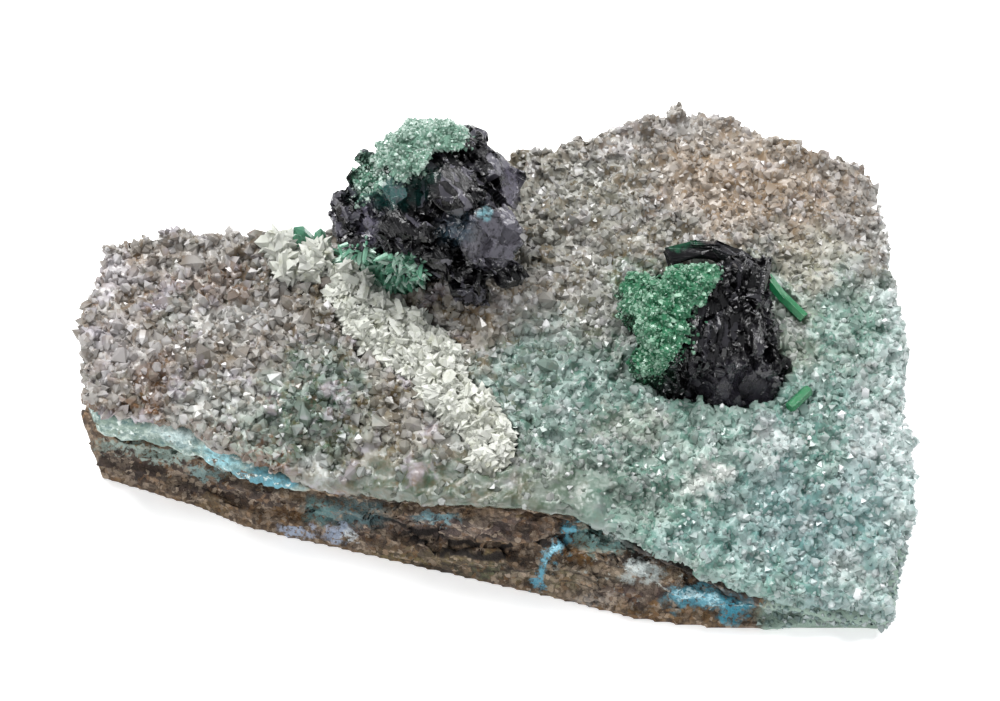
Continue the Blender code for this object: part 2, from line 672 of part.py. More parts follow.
root_ground = collection("root_ground", helpers, hidden=True)
make_ground("below_roots", lambda s, t: crust_top(s, t) - ROOT_DEPTH, root_ground)
socket_ground = collection("socket_ground", helpers, hidden=True)
make_ground("below_sockets", lambda s, t: crust_top(s, t) - ROOT_DEPTH - GAP, socket_ground)

back_socket = black_cluster("clinoatacamite_back", BACK_CENTRE, BACK_BLOCKS, BACK_ROOT)
front_socket = black_cluster("clinoatacamite_front", FRONT_CENTRE, FRONT_BLOCKS)
mineral("clinoatacamite_blade", line_specs(BLADE_LINE, 0.9, 0.85, 4), black, blade_sockets,
        [cluster_sockets])

dark_sockets = [cluster_sockets, blade_sockets]
view_frame = Matrix([facing(1, 0, 0), facing(0, 1, 0), facing(0, 0, 1)]).transposed().to_4x4()
plan_frame = Matrix.Identity(4)
patch_mineral("green_cap_back", green, green_sockets, dark_sockets, CAP_ROUNDS, 0.62, 0.9, 3,
              cluster_surface(back_socket), None, view_frame)
crust_socket = patch_mineral(
    "green_crust_front", green, green_sockets, [*dark_sockets, root_ground], CRUST_ROUNDS, 0.62, 0.9, 5,
    cluster_surface(front_socket), None, view_frame,
)
boolean(crust_socket, "DIFFERENCE", socket_ground)
patch_mineral("green_foot_back", green, green_sockets, dark_sockets, on_plan(FOOT_ROUNDS), 0.62, 1.2, 7,
              crust_surface, 8.6, plan_frame)
mineral("green_point", point_specs(POINT_CRYSTALS, 0.6, 1.1, 9), green, green_sockets, [])
for number, places in enumerate(ROD_LINES, 1):
    mineral(f"green_rod_{number}", line_specs(places, 0.35, 0.42, 6), green, green_sockets, dark_sockets)

patch_mineral("white_chain", white, white_sockets, [*dark_sockets, green_sockets], on_plan(CHAIN_ROUNDS),
              0.8, 1.7, 12, crust_surface, 8.2, plan_frame)
mineral("white_group", point_specs(GROUP_CRYSTALS, 1.1, 1.8, 13, 0.7), white, group_sockets,
        [green_sockets, white_sockets])

make_ground("crust_bed", crust_floor, sockets)
rim_group = collection("rim", helpers, hidden=True)
for number, spec in enumerate(rim_specs()):
    add_object(f"rim_{number}", crystal(**spec), rim_group)
make_druse(rim_group)
for obj in specimen.objects:
    clear_scraps(obj)
seat(specimen.objects)
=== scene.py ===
"""Looks of the clinoatacamite specimen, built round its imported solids."""

import json
import math

import bpy
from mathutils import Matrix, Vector

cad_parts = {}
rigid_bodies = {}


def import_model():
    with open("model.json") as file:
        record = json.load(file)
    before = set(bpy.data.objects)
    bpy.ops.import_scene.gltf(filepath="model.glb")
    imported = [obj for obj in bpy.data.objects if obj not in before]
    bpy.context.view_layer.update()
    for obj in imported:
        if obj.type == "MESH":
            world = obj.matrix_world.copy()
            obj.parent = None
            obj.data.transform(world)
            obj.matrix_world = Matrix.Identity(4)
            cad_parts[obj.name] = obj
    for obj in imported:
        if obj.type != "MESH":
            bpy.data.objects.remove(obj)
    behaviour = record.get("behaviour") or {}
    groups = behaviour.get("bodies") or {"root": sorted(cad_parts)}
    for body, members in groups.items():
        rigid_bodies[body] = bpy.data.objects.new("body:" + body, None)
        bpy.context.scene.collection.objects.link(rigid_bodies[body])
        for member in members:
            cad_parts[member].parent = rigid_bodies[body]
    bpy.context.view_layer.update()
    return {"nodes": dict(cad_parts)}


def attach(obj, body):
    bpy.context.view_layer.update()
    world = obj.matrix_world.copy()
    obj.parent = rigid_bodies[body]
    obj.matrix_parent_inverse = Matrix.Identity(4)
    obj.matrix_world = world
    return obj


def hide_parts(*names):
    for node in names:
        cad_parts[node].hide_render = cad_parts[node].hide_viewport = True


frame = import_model()
bpy.context.scene.view_settings.view_transform = "Standard"
bpy.context.view_layer.update()

# --- Host rock ---
# The brown rock that the crystals grew on: a broken slab of grainy, iron-stained rock in thin ledges,
# sawn flat underneath. Its front face is bare, and blue-green copper salts have crept into its cracks.

MM = 0.001
VIEW_TILT = math.radians(55)  # the viewer looks down on the specimen at this angle
VIEW_MIDDLE = Vector((0.297, 0.008, 9.0)) * MM  # the point of the specimen in the middle of the view
NOISE_ROUGHNESS = 0.6
NOISE_SPAN = (0.25, 0.75)  # nearly all values of noise lie between these


def tone(red, green, blue):
    """A colour given in screen values, 0 to 255, as a linear one."""
    linear = []
    for value in (red / 255, green / 255, blue / 255):
        linear.append(value / 12.92 if value < 0.04045 else ((value + 0.055) / 1.055) ** 2.4)
    return (*linear, 1.0)


def node(tree, kind, inputs=None, **settings):
    """A node with its settings, and its inputs given as values or as other nodes' outputs."""
    made = tree.nodes.new(kind)
    for name, value in settings.items():
        setattr(made, name, value)
    for name, value in (inputs or {}).items():
        if isinstance(value, bpy.types.NodeSocket):
            tree.links.new(value, made.inputs[name])
        else:
            made.inputs[name].default_value = value
    return made


def math_node(tree, operation, first, second=0.0):
    return node(tree, "ShaderNodeMath", {0: first, 1: second}, operation=operation).outputs[0]


def times(tree, first, second):
    return math_node(tree, "MULTIPLY", first, second)


def vector_node(tree, operation, inputs, output=0):
    return node(tree, "ShaderNodeVectorMath", inputs, operation=operation).outputs[output]


def axes(tree, vector):
    """The x, y and z of a vector."""
    return node(tree, "ShaderNodeSeparateXYZ", {0: vector}).outputs


def eased(tree, value, low, high, to_low=0.0, to_high=1.0):
    """A value that goes smoothly from to_low to to_high as another goes from low to high."""
    inputs = {"Value": value, "From Min": low, "From Max": high, "To Min": to_low, "To Max": to_high}
    return node(tree, "ShaderNodeMapRange", inputs, interpolation_type="SMOOTHSTEP").outputs[0]


def mixed(tree, share, first, second):
    """A colour between two, by share. The mix node's sockets for colours are its 6 and 7."""
    made = node(tree, "ShaderNodeMix", {0: share, 6: first, 7: second}, data_type="RGBA")
    return made.outputs[2]


def shader_group(name, inputs, outputs):
    """An empty group of shader nodes with its sockets, and the nodes at its two ends."""
    tree = bpy.data.node_groups.new(name, "ShaderNodeTree")
    for label, value in inputs.items():
        socket = tree.interface.new_socket(label, in_out="INPUT", socket_type="NodeSocketFloat")
        socket.default_value = value
    for label, kind in outputs.items():
        tree.interface.new_socket(label, in_out="OUTPUT", socket_type="NodeSocket" + kind)
    return tree, tree.nodes.new("NodeGroupInput").outputs, tree.nodes.new("NodeGroupOutput").inputs


def millimetres(tree):
    """Places on the specimen, in millimetres."""
    place = node(tree, "ShaderNodeTexCoord").outputs["Object"]
    return vector_node(tree, "SCALE", {0: place, "Scale": 1 / MM})


def noise_node(tree, place, size, detail=3.0):
    """Noise with lumps of this size, around 0.5."""
    inputs = {"Vector": place, "Scale": 1 / size, "Detail": detail, "Roughness": NOISE_ROUGHNESS}
    return node(tree, "ShaderNodeTexNoise", inputs).outputs


def speckle_group():
    """Mask of natural blotches: their size in millimetres, how much of the surface they take, and how
    soft their edges are."""
    tree, given, made = shader_group("speckle", {"Size": 1.0, "Cover": 0.5, "Soft": 0.1}, {"Mask": "Float"})
    spread = math_node(tree, "DIVIDE", 1.0, given["Size"])
    noise = node(tree, "ShaderNodeTexNoise", {
        "Vector": millimetres(tree), "Scale": spread, "Detail": 3.0, "Roughness": NOISE_ROUGHNESS,
    })
    edge = eased(tree, given["Cover"], 0.0, 1.0, 0.72, 0.28)
    low = math_node(tree, "SUBTRACT", edge, given["Soft"])
    high = math_node(tree, "ADD", edge, given["Soft"])
    tree.links.new(eased(tree, noise.outputs["Fac"], low, high), made["Mask"])
    return tree


speckle_nodes = speckle_group()


def speckles(tree, size, cover, soft=0.08):
    return node(tree, "ShaderNodeGroup", {"Size": size, "Cover": cover, "Soft": soft},
                node_tree=speckle_nodes).outputs["Mask"]


def as_seen(tree, place):
    """Where the viewer sees a place: right and up of the middle of the view, in millimetres."""
    apart = axes(tree, place)
    middle = VIEW_MIDDLE / MM
    right = math_node(tree, "SUBTRACT", apart[0], middle.x)
    back = times(tree, math_node(tree, "SUBTRACT", apart[1], middle.y), math.sin(VIEW_TILT))
    rise = times(tree, math_node(tree, "SUBTRACT", apart[2], middle.z), math.cos(VIEW_TILT))
    return right, math_node(tree, "ADD", back, rise)


def strayed(tree, place, reach, size):
    """Where the viewer sees a place, shifted to and fro by up to a reach so that areas end raggedly."""
    shake = axes(tree, noise_node(tree, place, size, 4.0)["Color"])
    shifts = [eased(tree, shake[axis], *NOISE_SPAN, -reach, reach) for axis in (0, 1)]
    return [math_node(tree, "ADD", side, shift) for side, shift in zip(as_seen(tree, place), shifts)]


def area(tree, seen, right, up, wide, high, soft=0.5):
    """Mask of an oval area, by its middle and its reach as the viewer sees it."""
    squares = []
    for side, centre, reach in ((seen[0], right, wide), (seen[1], up, high)):
        offset = times(tree, math_node(tree, "SUBTRACT", side, centre), 1 / reach)
        squares.append(times(tree, offset, offset))
    distance = math_node(tree, "SQRT", math_node(tree, "ADD", *squares))
    return eased(tree, distance, 1.0 - soft, 1.0 + soft, 1.0, 0.0)


def painted(tree, seen, colour, areas, broken=None):
    """A colour with areas of other colours over it: each has a screen colour, a share, a middle, a reach
    and a softness. A mask can break all of them up."""
    for shade, share, *place in areas:
        cover = times(tree, area(tree, seen, *place), share)
        if broken:
            cover = times(tree, cover, broken)
        colour = mixed(tree, cover, colour, tone(*shade))
    return colour


def finish(name, **sockets):
    """A new material with constant values on its shader, its node tree and its shader's inputs."""
    made = bpy.data.materials.new(name)
    made.use_nodes = True
    inputs = made.node_tree.nodes["Principled BSDF"].inputs
    for socket, value in sockets.items():
        inputs[socket.replace("_", " ")].default_value = value
    return made, made.node_tree, inputs


def fine_bump(tree, inputs, size, depth, strength=1.0, place=None):
    """Bumps of this size and depth, both in millimetres, on a shader."""
    height = noise_node(tree, place or millimetres(tree), size, 4.0)["Fac"]
    bump = node(tree, "ShaderNodeBump", {"Height": height, "Distance": depth * MM, "Strength": strength})
    tree.links.new(bump.outputs[0], inputs["Normal"])


# Areas of colour: a screen colour, its share, its middle to the right and up as the viewer sees it, its
# reach both ways in millimetres, and how soft its edge is.
ROCK_COLOURS_AND_SHADOWS = [
    ((50, 41, 44), 0.8, -27.2, -7.6, 1.6, 0.6, 0.4), ((50, 41, 44), 0.8, -24.2, -8.4, 2.6, 0.7, 0.4),
    ((52, 42, 42), 0.8, -20.6, -9.4, 2.4, 0.9, 0.4), ((56, 46, 44), 0.8, -17.2, -10.4, 2.2, 0.6, 0.4),
    ((122, 88, 48), 0.6, -15.0, -11.6, 1.6, 0.6), ((124, 104, 70), 0.6, -20.0, -10.8, 1.3, 0.7),
    ((96, 84, 86), 0.7, -4.0, -12.3, 8.0, 0.9), ((116, 104, 70), 0.8, -5.4, -14.5, 5.5, 0.6, 0.4),
    ((88, 98, 74), 0.7, -1.0, -15.4, 2.6, 0.5), ((120, 96, 84), 0.6, -9.4, -12.6, 1.2, 0.5),
    ((172, 158, 136), 0.6, 7.0, -16.0, 3.6, 1.3), ((124, 88, 40), 0.85, 5.8, -13.9, 1.3, 0.9, 0.4),
    ((116, 110, 78), 0.7, 3.8, -15.9, 1.6, 1.0), ((122, 92, 52), 0.7, 10.2, -18.3, 6.0, 0.6),
    ((82, 66, 68), 0.8, 9.6, -16.8, 3.0, 0.7), ((186, 180, 172), 0.6, 6.6, -17.6, 1.4, 0.5),
    # Painted shadow: the two dark areas in this line lie just under the overhanging quartz edge.
    ((44, 40, 38), 0.8, 10.0, -14.2, 3.4, 0.6, 0.4), ((40, 40, 40), 0.8, 15.2, -17.0, 2.8, 0.9, 0.4),
]
COPPER_SALTS = [
    ((44, 74, 80), 0.9, 4.9, -12.5, 0.7, 0.7, 0.4), ((96, 168, 192), 0.9, 4.8, -12.8, 0.4, 0.6, 0.4),
    ((134, 200, 222), 1.0, 3.9, -13.7, 0.7, 0.4, 0.4), ((110, 178, 200), 1.0, 3.1, -14.7, 0.4, 0.8, 0.4),
    ((96, 164, 188), 0.9, 2.7, -16.0, 0.4, 0.8, 0.4), ((112, 150, 146), 0.9, 7.4, -12.9, 2.2, 1.0, 0.5),
    ((186, 196, 194), 0.9, 9.9, -15.4, 1.2, 0.7, 0.5), ((96, 160, 178), 0.95, 13.6, -17.1, 2.0, 0.9, 0.4),
    ((70, 150, 172), 0.95, 16.3, -18.0, 1.2, 0.9, 0.4), ((160, 172, 192), 0.9, -11.3, -12.8, 0.8, 0.5, 0.5),
    ((150, 164, 156), 1.0, -26.6, -6.8, 2.0, 0.5, 0.3), ((144, 160, 152), 1.0, -23.4, -7.4, 2.2, 0.5, 0.3),
    ((128, 152, 150), 0.9, -20.6, -8.5, 1.4, 0.4, 0.3),
    ((164, 176, 196), 0.9, -14.2, -12.7, 1.3, 0.4, 0.4), ((84, 112, 116), 0.8, -10.2, -11.4, 2.4, 0.9, 0.5),
    ((110, 150, 158), 0.8, -4.4, -11.6, 1.4, 0.4, 0.5), ((88, 124, 124), 0.8, -12.6, -11.2, 1.0, 0.9, 0.5),
]
WHITE_SALTS = [
    ((196, 228, 236), 1.0, 13.2, -16.9, 1.0, 0.3, 0.5), ((178, 222, 234), 1.0, 14.8, -17.5, 0.6, 0.4, 0.5),
    ((190, 226, 232), 1.0, 16.6, -17.8, 0.5, 0.3, 0.5), ((206, 214, 212), 0.9, 9.6, -15.0, 0.9, 0.4, 0.5),
    ((176, 224, 238), 1.0, 3.7, -13.8, 0.5, 0.2, 0.5), ((170, 218, 234), 1.0, 3.1, -14.6, 0.25, 0.5, 0.5),
    ((190, 204, 198), 0.8, 7.8, -12.9, 1.2, 0.4, 0.5), ((200, 206, 208), 0.9, -10.6, -13.0, 0.5, 0.3, 0.5),
]


def from_crack(tree, place):
    """How far a place is above the crack in the rock's front, which wanders and climbs to the right, and
    the share of the crack that is there along its length."""
    apart = axes(tree, place)
    flat = vector_node(tree, "MULTIPLY", {0: place, 1: (0.3, 0.3, 0.0)})
    wander = eased(tree, noise_node(tree, flat, 1.0)["Fac"], 0.3, 0.7, -0.35, 0.35)
    level = math_node(tree, "ADD", wander, eased(tree, apart[0], 0.0, 6.5, 2.5, 5.4))
    starts = eased(tree, apart[0], -14.0, -11.0)
    share = times(tree, starts, eased(tree, apart[0], 8.0, 10.0, 1.0, 0.0))
    return math_node(tree, "SUBTRACT", apart[2], level), share


def rock_colours():
    """Brown grains of several colours, dark partings, painted shade along the crack, blue-green and white
    salts, and the pale green of the quartz at the right end."""
    tree, _, made = shader_group("brown_grains", {}, {"Color": "Color"})
    place = millimetres(tree)
    seen = strayed(tree, place, 0.5, 0.9)
    colour = mixed(tree, speckles(tree, 2.6, 0.5, 0.08), tone(124, 102, 78), tone(102, 85, 70))
    colour = mixed(tree, speckles(tree, 2.0, 0.3, 0.06), colour, tone(120, 102, 70))
    colour = painted(tree, seen, colour, ROCK_COLOURS_AND_SHADOWS)
    for size, reach in ((0.8, 0.4), (0.34, 0.6)):
        shaken = vector_node(tree, "MULTIPLY_ADD", {
            0: noise_node(tree, place, size, 3.0)["Color"], 1: (size * 1.6,) * 3, 2: place,
        })
        cells = node(tree, "ShaderNodeTexVoronoi", {"Vector": shaken, "Scale": 1 / size}).outputs
        own = axes(tree, cells["Color"])
        colour = mixed(tree, eased(tree, own[0], 0.0, 0.6, reach, 0.0), colour, tone(46, 38, 34))
        colour = mixed(tree, eased(tree, own[1], 0.6, 1.0, 0.0, reach), colour, tone(180, 162, 142))
        colour = mixed(tree, eased(tree, own[2], 0.86, 0.94, 0.0, reach * 0.7), colour, tone(128, 94, 60))
        colour = mixed(tree, eased(tree, cells["Distance"], 0.5, 0.8, 0.0, 0.5), colour, tone(44, 36, 32))
    layers = noise_node(tree, vector_node(tree, "MULTIPLY", {0: place, 1: (0.16, 0.16, 2.2)}), 1.0)["Fac"]
    partings = eased(tree, layers, 0.36, 0.44, 1.0, 0.0)
    dark = times(tree, partings, eased(tree, seen[0], -17.0, -12.0, 0.0, 0.7))
    # Painted shade: a dark line just above the crack, in the corner where the set-back front meets the
    # ledge below.
    above, along = from_crack(tree, place)
    off = math_node(tree, "ABSOLUTE", math_node(tree, "SUBTRACT", above, 0.2))
    crack = times(tree, eased(tree, off, 0.12, 0.34, 0.95, 0.0), along)
    dark = math_node(tree, "MAXIMUM", dark, crack)
    colour = mixed(tree, dark, colour, tone(30, 25, 23))
    colour = painted(tree, seen, colour, COPPER_SALTS, speckles(tree, 0.32, 0.62, 0.08))
    colour = painted(tree, seen, colour, WHITE_SALTS, speckles(tree, 0.24, 0.56, 0.08))
    pale = times(tree, area(tree, seen, 9.6, -15.2, 5.4, 2.2), speckles(tree, 0.6, 0.24, 0.05))
    colour = mixed(tree, times(tree, pale, 0.8), colour, tone(190, 196, 190))
    colour = mixed(tree, eased(tree, seen[0], 17.6, 18.8), colour, tone(140, 160, 148))
    tree.links.new(colour, made["Color"])
    return tree


rock_nodes = rock_colours()


def rock_finish():
    made, tree, inputs = finish("brown_rock", Roughness=0.9)
    colour = node(tree, "ShaderNodeGroup", node_tree=rock_nodes).outputs["Color"]
    tree.links.new(colour, inputs["Base Color"])
    fine_bump(tree, inputs, 0.22, 0.2)
    return made


def select_only(piece):
    bpy.ops.object.select_all(action="DESELECT")
    piece.select_set(True)
    bpy.context.view_layer.objects.active = piece


def solid_copy(cad_node, name):
    """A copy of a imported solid, with its loose triangles joined."""
    piece = bpy.data.objects.new(name, frame["nodes"][cad_node].data.copy())
    bpy.context.scene.collection.objects.link(piece)
    piece.data.materials.clear()
    select_only(piece)
    bpy.ops.object.mode_set(mode="EDIT")
    bpy.ops.mesh.select_all(action="SELECT")
    bpy.ops.mesh.remove_doubles(threshold=0.001 * MM)
    bpy.ops.object.mode_set(mode="OBJECT")
    return piece


def shape(piece, kind, **settings):
    """Adds a modifier to a piece and applies it."""
    modifier = piece.modifiers.new(kind.lower(), kind)
    for name, value in settings.items():
        setattr(modifier, name, value)
    select_only(piece)
    bpy.ops.object.modifier_apply(modifier=modifier.name)


def geometry_tree(name):
    """An empty tree of geometry nodes: the mesh that comes in, its places in millimetres and its
    normals, and the socket that goes out."""
    tree = bpy.data.node_groups.new(name, "GeometryNodeTree")
    tree.interface.new_socket("Geometry", in_out="INPUT", socket_type="NodeSocketGeometry")
    tree.interface.new_socket("Geometry", in_out="OUTPUT", socket_type="NodeSocketGeometry")
    place = vector_node(tree, "SCALE", {
        0: tree.nodes.new("GeometryNodeInputPosition").outputs[0], "Scale": 1 / MM,
    })
    normal = tree.nodes.new("GeometryNodeInputNormal").outputs[0]
    mesh = tree.nodes.new("NodeGroupInput").outputs[0]
    return tree, mesh, place, normal, tree.nodes.new("NodeGroupOutput").inputs[0]


def cracked(tree, place, depth):
    """Sets the rock's front back just above the crack, so that the part below it stands out as a ledge."""
    above, along = from_crack(tree, place)
    notch = times(tree, eased(tree, above, -0.1, 0.2), eased(tree, above, 0.3, 2.2, 0.7, 0.0))
    front = eased(tree, axes(tree, place)[1], -12.0, -8.0, 1.0, 0.0)
    notch = times(tree, notch, times(tree, front, along))
    return math_node(tree, "SUBTRACT", depth, notch)


def relief(piece, swell, layers, carve=None, flat_base=False):
    """Pushes a surface out by swell, then out and in by layers of noise. A layer is the size of its
    features along x, y and z and their depth, in millimetres. Carve changes the depth by place, and a
    flat base stays as it is."""
    tree, mesh, place, normal, out = geometry_tree("relief")
    depth = swell
    for sizes, amount in layers:
        spread = vector_node(tree, "MULTIPLY", {0: place, 1: [1 / size for size in sizes]})
        swing = node(tree, "ShaderNodeMapRange", {
            "Value": noise_node(tree, spread, 1.0, 2.0)["Fac"], "From Min": NOISE_SPAN[0],
            "From Max": NOISE_SPAN[1], "To Min": -amount, "To Max": amount,
        }, clamp=False).outputs[0]
        depth = math_node(tree, "ADD", swing, depth)
    if carve:
        depth = carve(tree, place, depth)
    if flat_base:
        height = axes(tree, place)[2]
        depth = times(tree, depth, eased(tree, height, 0.0, 0.5))
    push = vector_node(tree, "SCALE", {0: normal, "Scale": times(tree, depth, MM)})
    pushed = node(tree, "GeometryNodeSetPosition", {"Geometry": mesh, "Offset": push})
    tree.links.new(pushed.outputs[0], out)
    shape(piece, "NODES", node_group=tree)


def along_grain(tree, place, grain, sizes):
    """A place counted in steps of these sizes along a grain, across it and up from it, and the steps."""
    across = grain.cross(Vector((0, 0, 1))).normalized()
    steps = [way * size for way, size in zip((grain, across, across.cross(grain)), sizes)]
    return node(tree, "ShaderNodeCombineXYZ", {
        axis: vector_node(tree, "DOT_PRODUCT", {0: place, 1: step / step.length_squared}, 1)
        for axis, step in enumerate(steps)
    }).outputs[0], steps


OUTWARD = 0.35  # how far out a face may move, as a share of how far in it may


def faceted(piece, sizes, tip, step, grain=Vector((1, 0, 0)), calm=None):
    """Breaks a surface into flat faces, as crystals or broken stone have them. Sizes are a face's reach
    along the grain, across it and up from it in millimetres, tip is how much it tilts, step is how far
    it lies back on average, and calm gives the share of all this at a place. Each face gets a number of
    its own, 0 to 1."""
    tree, mesh, place, normal, out = geometry_tree("facets")
    turned, ways = along_grain(tree, place, grain, sizes)
    cells = node(tree, "ShaderNodeTexVoronoi", {"Vector": turned, "Scale": 1.0}).outputs
    middle = axes(tree, cells["Position"])
    parts = [
        vector_node(tree, "SCALE", {0: way * MM, "Scale": middle[axis]}) for axis, way in enumerate(ways)
    ]
    level = vector_node(tree, "ADD", {0: parts[0], 1: parts[1]})
    centre = vector_node(tree, "ADD", {0: level, 1: parts[2]})
    facing, anchor = [node(tree, "GeometryNodeSampleNearestSurface", {
        "Mesh": mesh, "Value": value, "Sample Position": centre,
    }, data_type="FLOAT_VECTOR").outputs[0] for value in (normal, place)]
    chance = vector_node(tree, "MULTIPLY_ADD", {0: cells["Color"], 1: (2, 2, 2), 2: (-1, -1, -1)})
    chances = axes(tree, chance)
    tilted = vector_node(tree, "MULTIPLY_ADD", {0: chance, 1: (tip, tip, tip), 2: facing})
    plane = vector_node(tree, "NORMALIZE", {0: tilted})
    back = eased(tree, chances[0], -1.0, 1.0, -2.0 * step, 0.0)
    stand = vector_node(tree, "SCALE", {0: facing, "Scale": back})
    gap = vector_node(tree, "SUBTRACT", {0: vector_node(tree, "ADD", {0: anchor, 1: stand}), 1: place})
    lean = math_node(tree, "MAXIMUM", vector_node(tree, "DOT_PRODUCT", {0: normal, 1: plane}, 1), 0.5)
    move = math_node(tree, "DIVIDE", vector_node(tree, "DOT_PRODUCT", {0: gap, 1: plane}, 1), lean)
    reach = min(sizes) / 2
    move = math_node(tree, "MINIMUM", math_node(tree, "MAXIMUM", move, -reach), reach * OUTWARD)
    if calm:
        move = times(tree, move, calm(tree, place))
    marked = node(tree, "GeometryNodeStoreNamedAttribute", {
        "Geometry": mesh, "Name": "tint", "Value": eased(tree, chances[2], -1.0, 1.0),
    }, data_type="FLOAT", domain="FACE").outputs[0]
    push = vector_node(tree, "SCALE", {0: normal, "Scale": times(tree, move, MM)})
    pushed = node(tree, "GeometryNodeSetPosition", {"Geometry": marked, "Offset": push})
    tree.links.new(pushed.outputs[0], out)
    shape(piece, "NODES", node_group=tree)


def remesh(piece, voxel):
    """Gives a piece an even mesh, with faces about this many millimetres wide."""
    shape(piece, "REMESH", mode="VOXEL", voxel_size=voxel * MM)


def smooth(piece):
    select_only(piece)
    bpy.ops.object.shade_smooth()


def dress(piece, material, slot, *cad_nodes):
    """Gives a finished piece its material, hangs it on the root body and hides the imported solids it
    replaces.
    """
    piece.data.materials.clear()
    piece.data.materials.append(material)
    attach(piece, "root")
    if cad_nodes:
        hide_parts(*cad_nodes)


def above_base(tree, place):
    """The share of broken faces on the rock, whose sawn base has none."""
    return eased(tree, axes(tree, place)[2], 0.1, 1.2)


rock = solid_copy("host_rock", "rock")
remesh(rock, 0.24)
shape(rock, "SMOOTH", factor=0.5, iterations=4)
faceted(rock, (2.6, 1.6, 0.9), 0.3, 0.2, calm=above_base)
relief(rock, -0.1, [((8, 8, 1.1), 0.4), ((2.4, 2.4, 0.8), 0.32), ((1.1, 1.3, 0.5), 0.12)], cracked, True)
smooth(rock)
dress(rock, rock_finish(), "host_rock", "host_rock")

# --- Chrysocolla seam ---
# A thin chalky layer of blue-green copper silicate between rock and quartz. It is thick and pale at
# the left end and bright turquoise further along. After that it is a thin rusty joint, with painted shadow
# along part of it.

SEAM_ZONES = [
    ((196, 214, 214), 0.8, -22.3, -5.8, 1.6, 0.8), ((150, 200, 210), 0.9, -19.6, -7.4, 1.3, 0.8),
    ((84, 146, 164), 0.9, -16.4, -8.9, 2.8, 0.9), ((104, 168, 186), 0.7, -15.2, -9.0, 0.8, 0.5),
    ((104, 122, 112), 0.6, -26.0, -6.6, 3.4, 0.5),
]


def seam_finish():
    """Chalk with blue-green areas, flecks and rusty spots, and the rock's colours further right, with
    painted shadow along the joint there.
    """
    made, tree, inputs = finish("chalky_turquoise", Roughness=0.85)
    seen = strayed(tree, millimetres(tree), 0.6, 0.9)
    chalk = mixed(tree, speckles(tree, 1.0, 0.5, 0.12), tone(132, 150, 138), tone(186, 200, 192))
    chalk = painted(tree, seen, chalk, SEAM_ZONES)
    chalk = mixed(tree, times(tree, speckles(tree, 0.7, 0.34, 0.08), 0.8), chalk, tone(72, 104, 106))
    chalk = mixed(tree, times(tree, speckles(tree, 0.3, 0.5, 0.1), 0.5), chalk, tone(84, 112, 112))
    chalk = mixed(tree, speckles(tree, 0.9, 0.26, 0.05), chalk, tone(98, 82, 66))
    chalk = mixed(tree, speckles(tree, 0.5, 0.3, 0.06), chalk, tone(216, 224, 220))
    rusty = node(tree, "ShaderNodeGroup", node_tree=rock_nodes).outputs["Color"]
    # Painted shadow: darkens the rusty joint under the quartz edge, from the middle to near the right end.
    joint = times(tree, eased(tree, seen[0], 6.0, 9.0), eased(tree, seen[0], 16.5, 18.0, 0.85, 0.0))
    shadow = times(tree, joint, speckles(tree, 1.2, 0.7, 0.1))
    rusty = mixed(tree, shadow, rusty, tone(34, 32, 30))
    tree.links.new(mixed(tree, eased(tree, seen[0], -14.6, -13.0), chalk, rusty), inputs["Base Color"])
    fine_bump(tree, inputs, 0.3, 0.15)
    return made


def thinned(tree, place, depth):
    """Lets the seam sink back where it is only a rusty joint, right of its chalky part, and come out
    again at the right end, which is all quartz."""
    side = axes(tree, place)[0]
    joint = math_node(tree, "ADD", depth, eased(tree, side, -15.0, -12.0, 0.0, -0.35))
    return math_node(tree, "ADD", joint, eased(tree, side, 16.0, 19.0, 0.0, 0.5))


seam = solid_copy("chrysocolla_seam", "seam")
remesh(seam, 0.25)
relief(seam, 0.14, [((2.5, 2.5, 1.2), 0.25), ((0.8, 0.8, 0.6), 0.22)], thinned)
smooth(seam)
dress(seam, seam_finish(), "chrysocolla", "chrysocolla_seam")

# --- Quartz druse ---
# A crust of clear quartz points that covers the top and the broken sides. The points are coarse and
# smoky over brown stains at the left and the back, and fine as sugar over green at the front right.

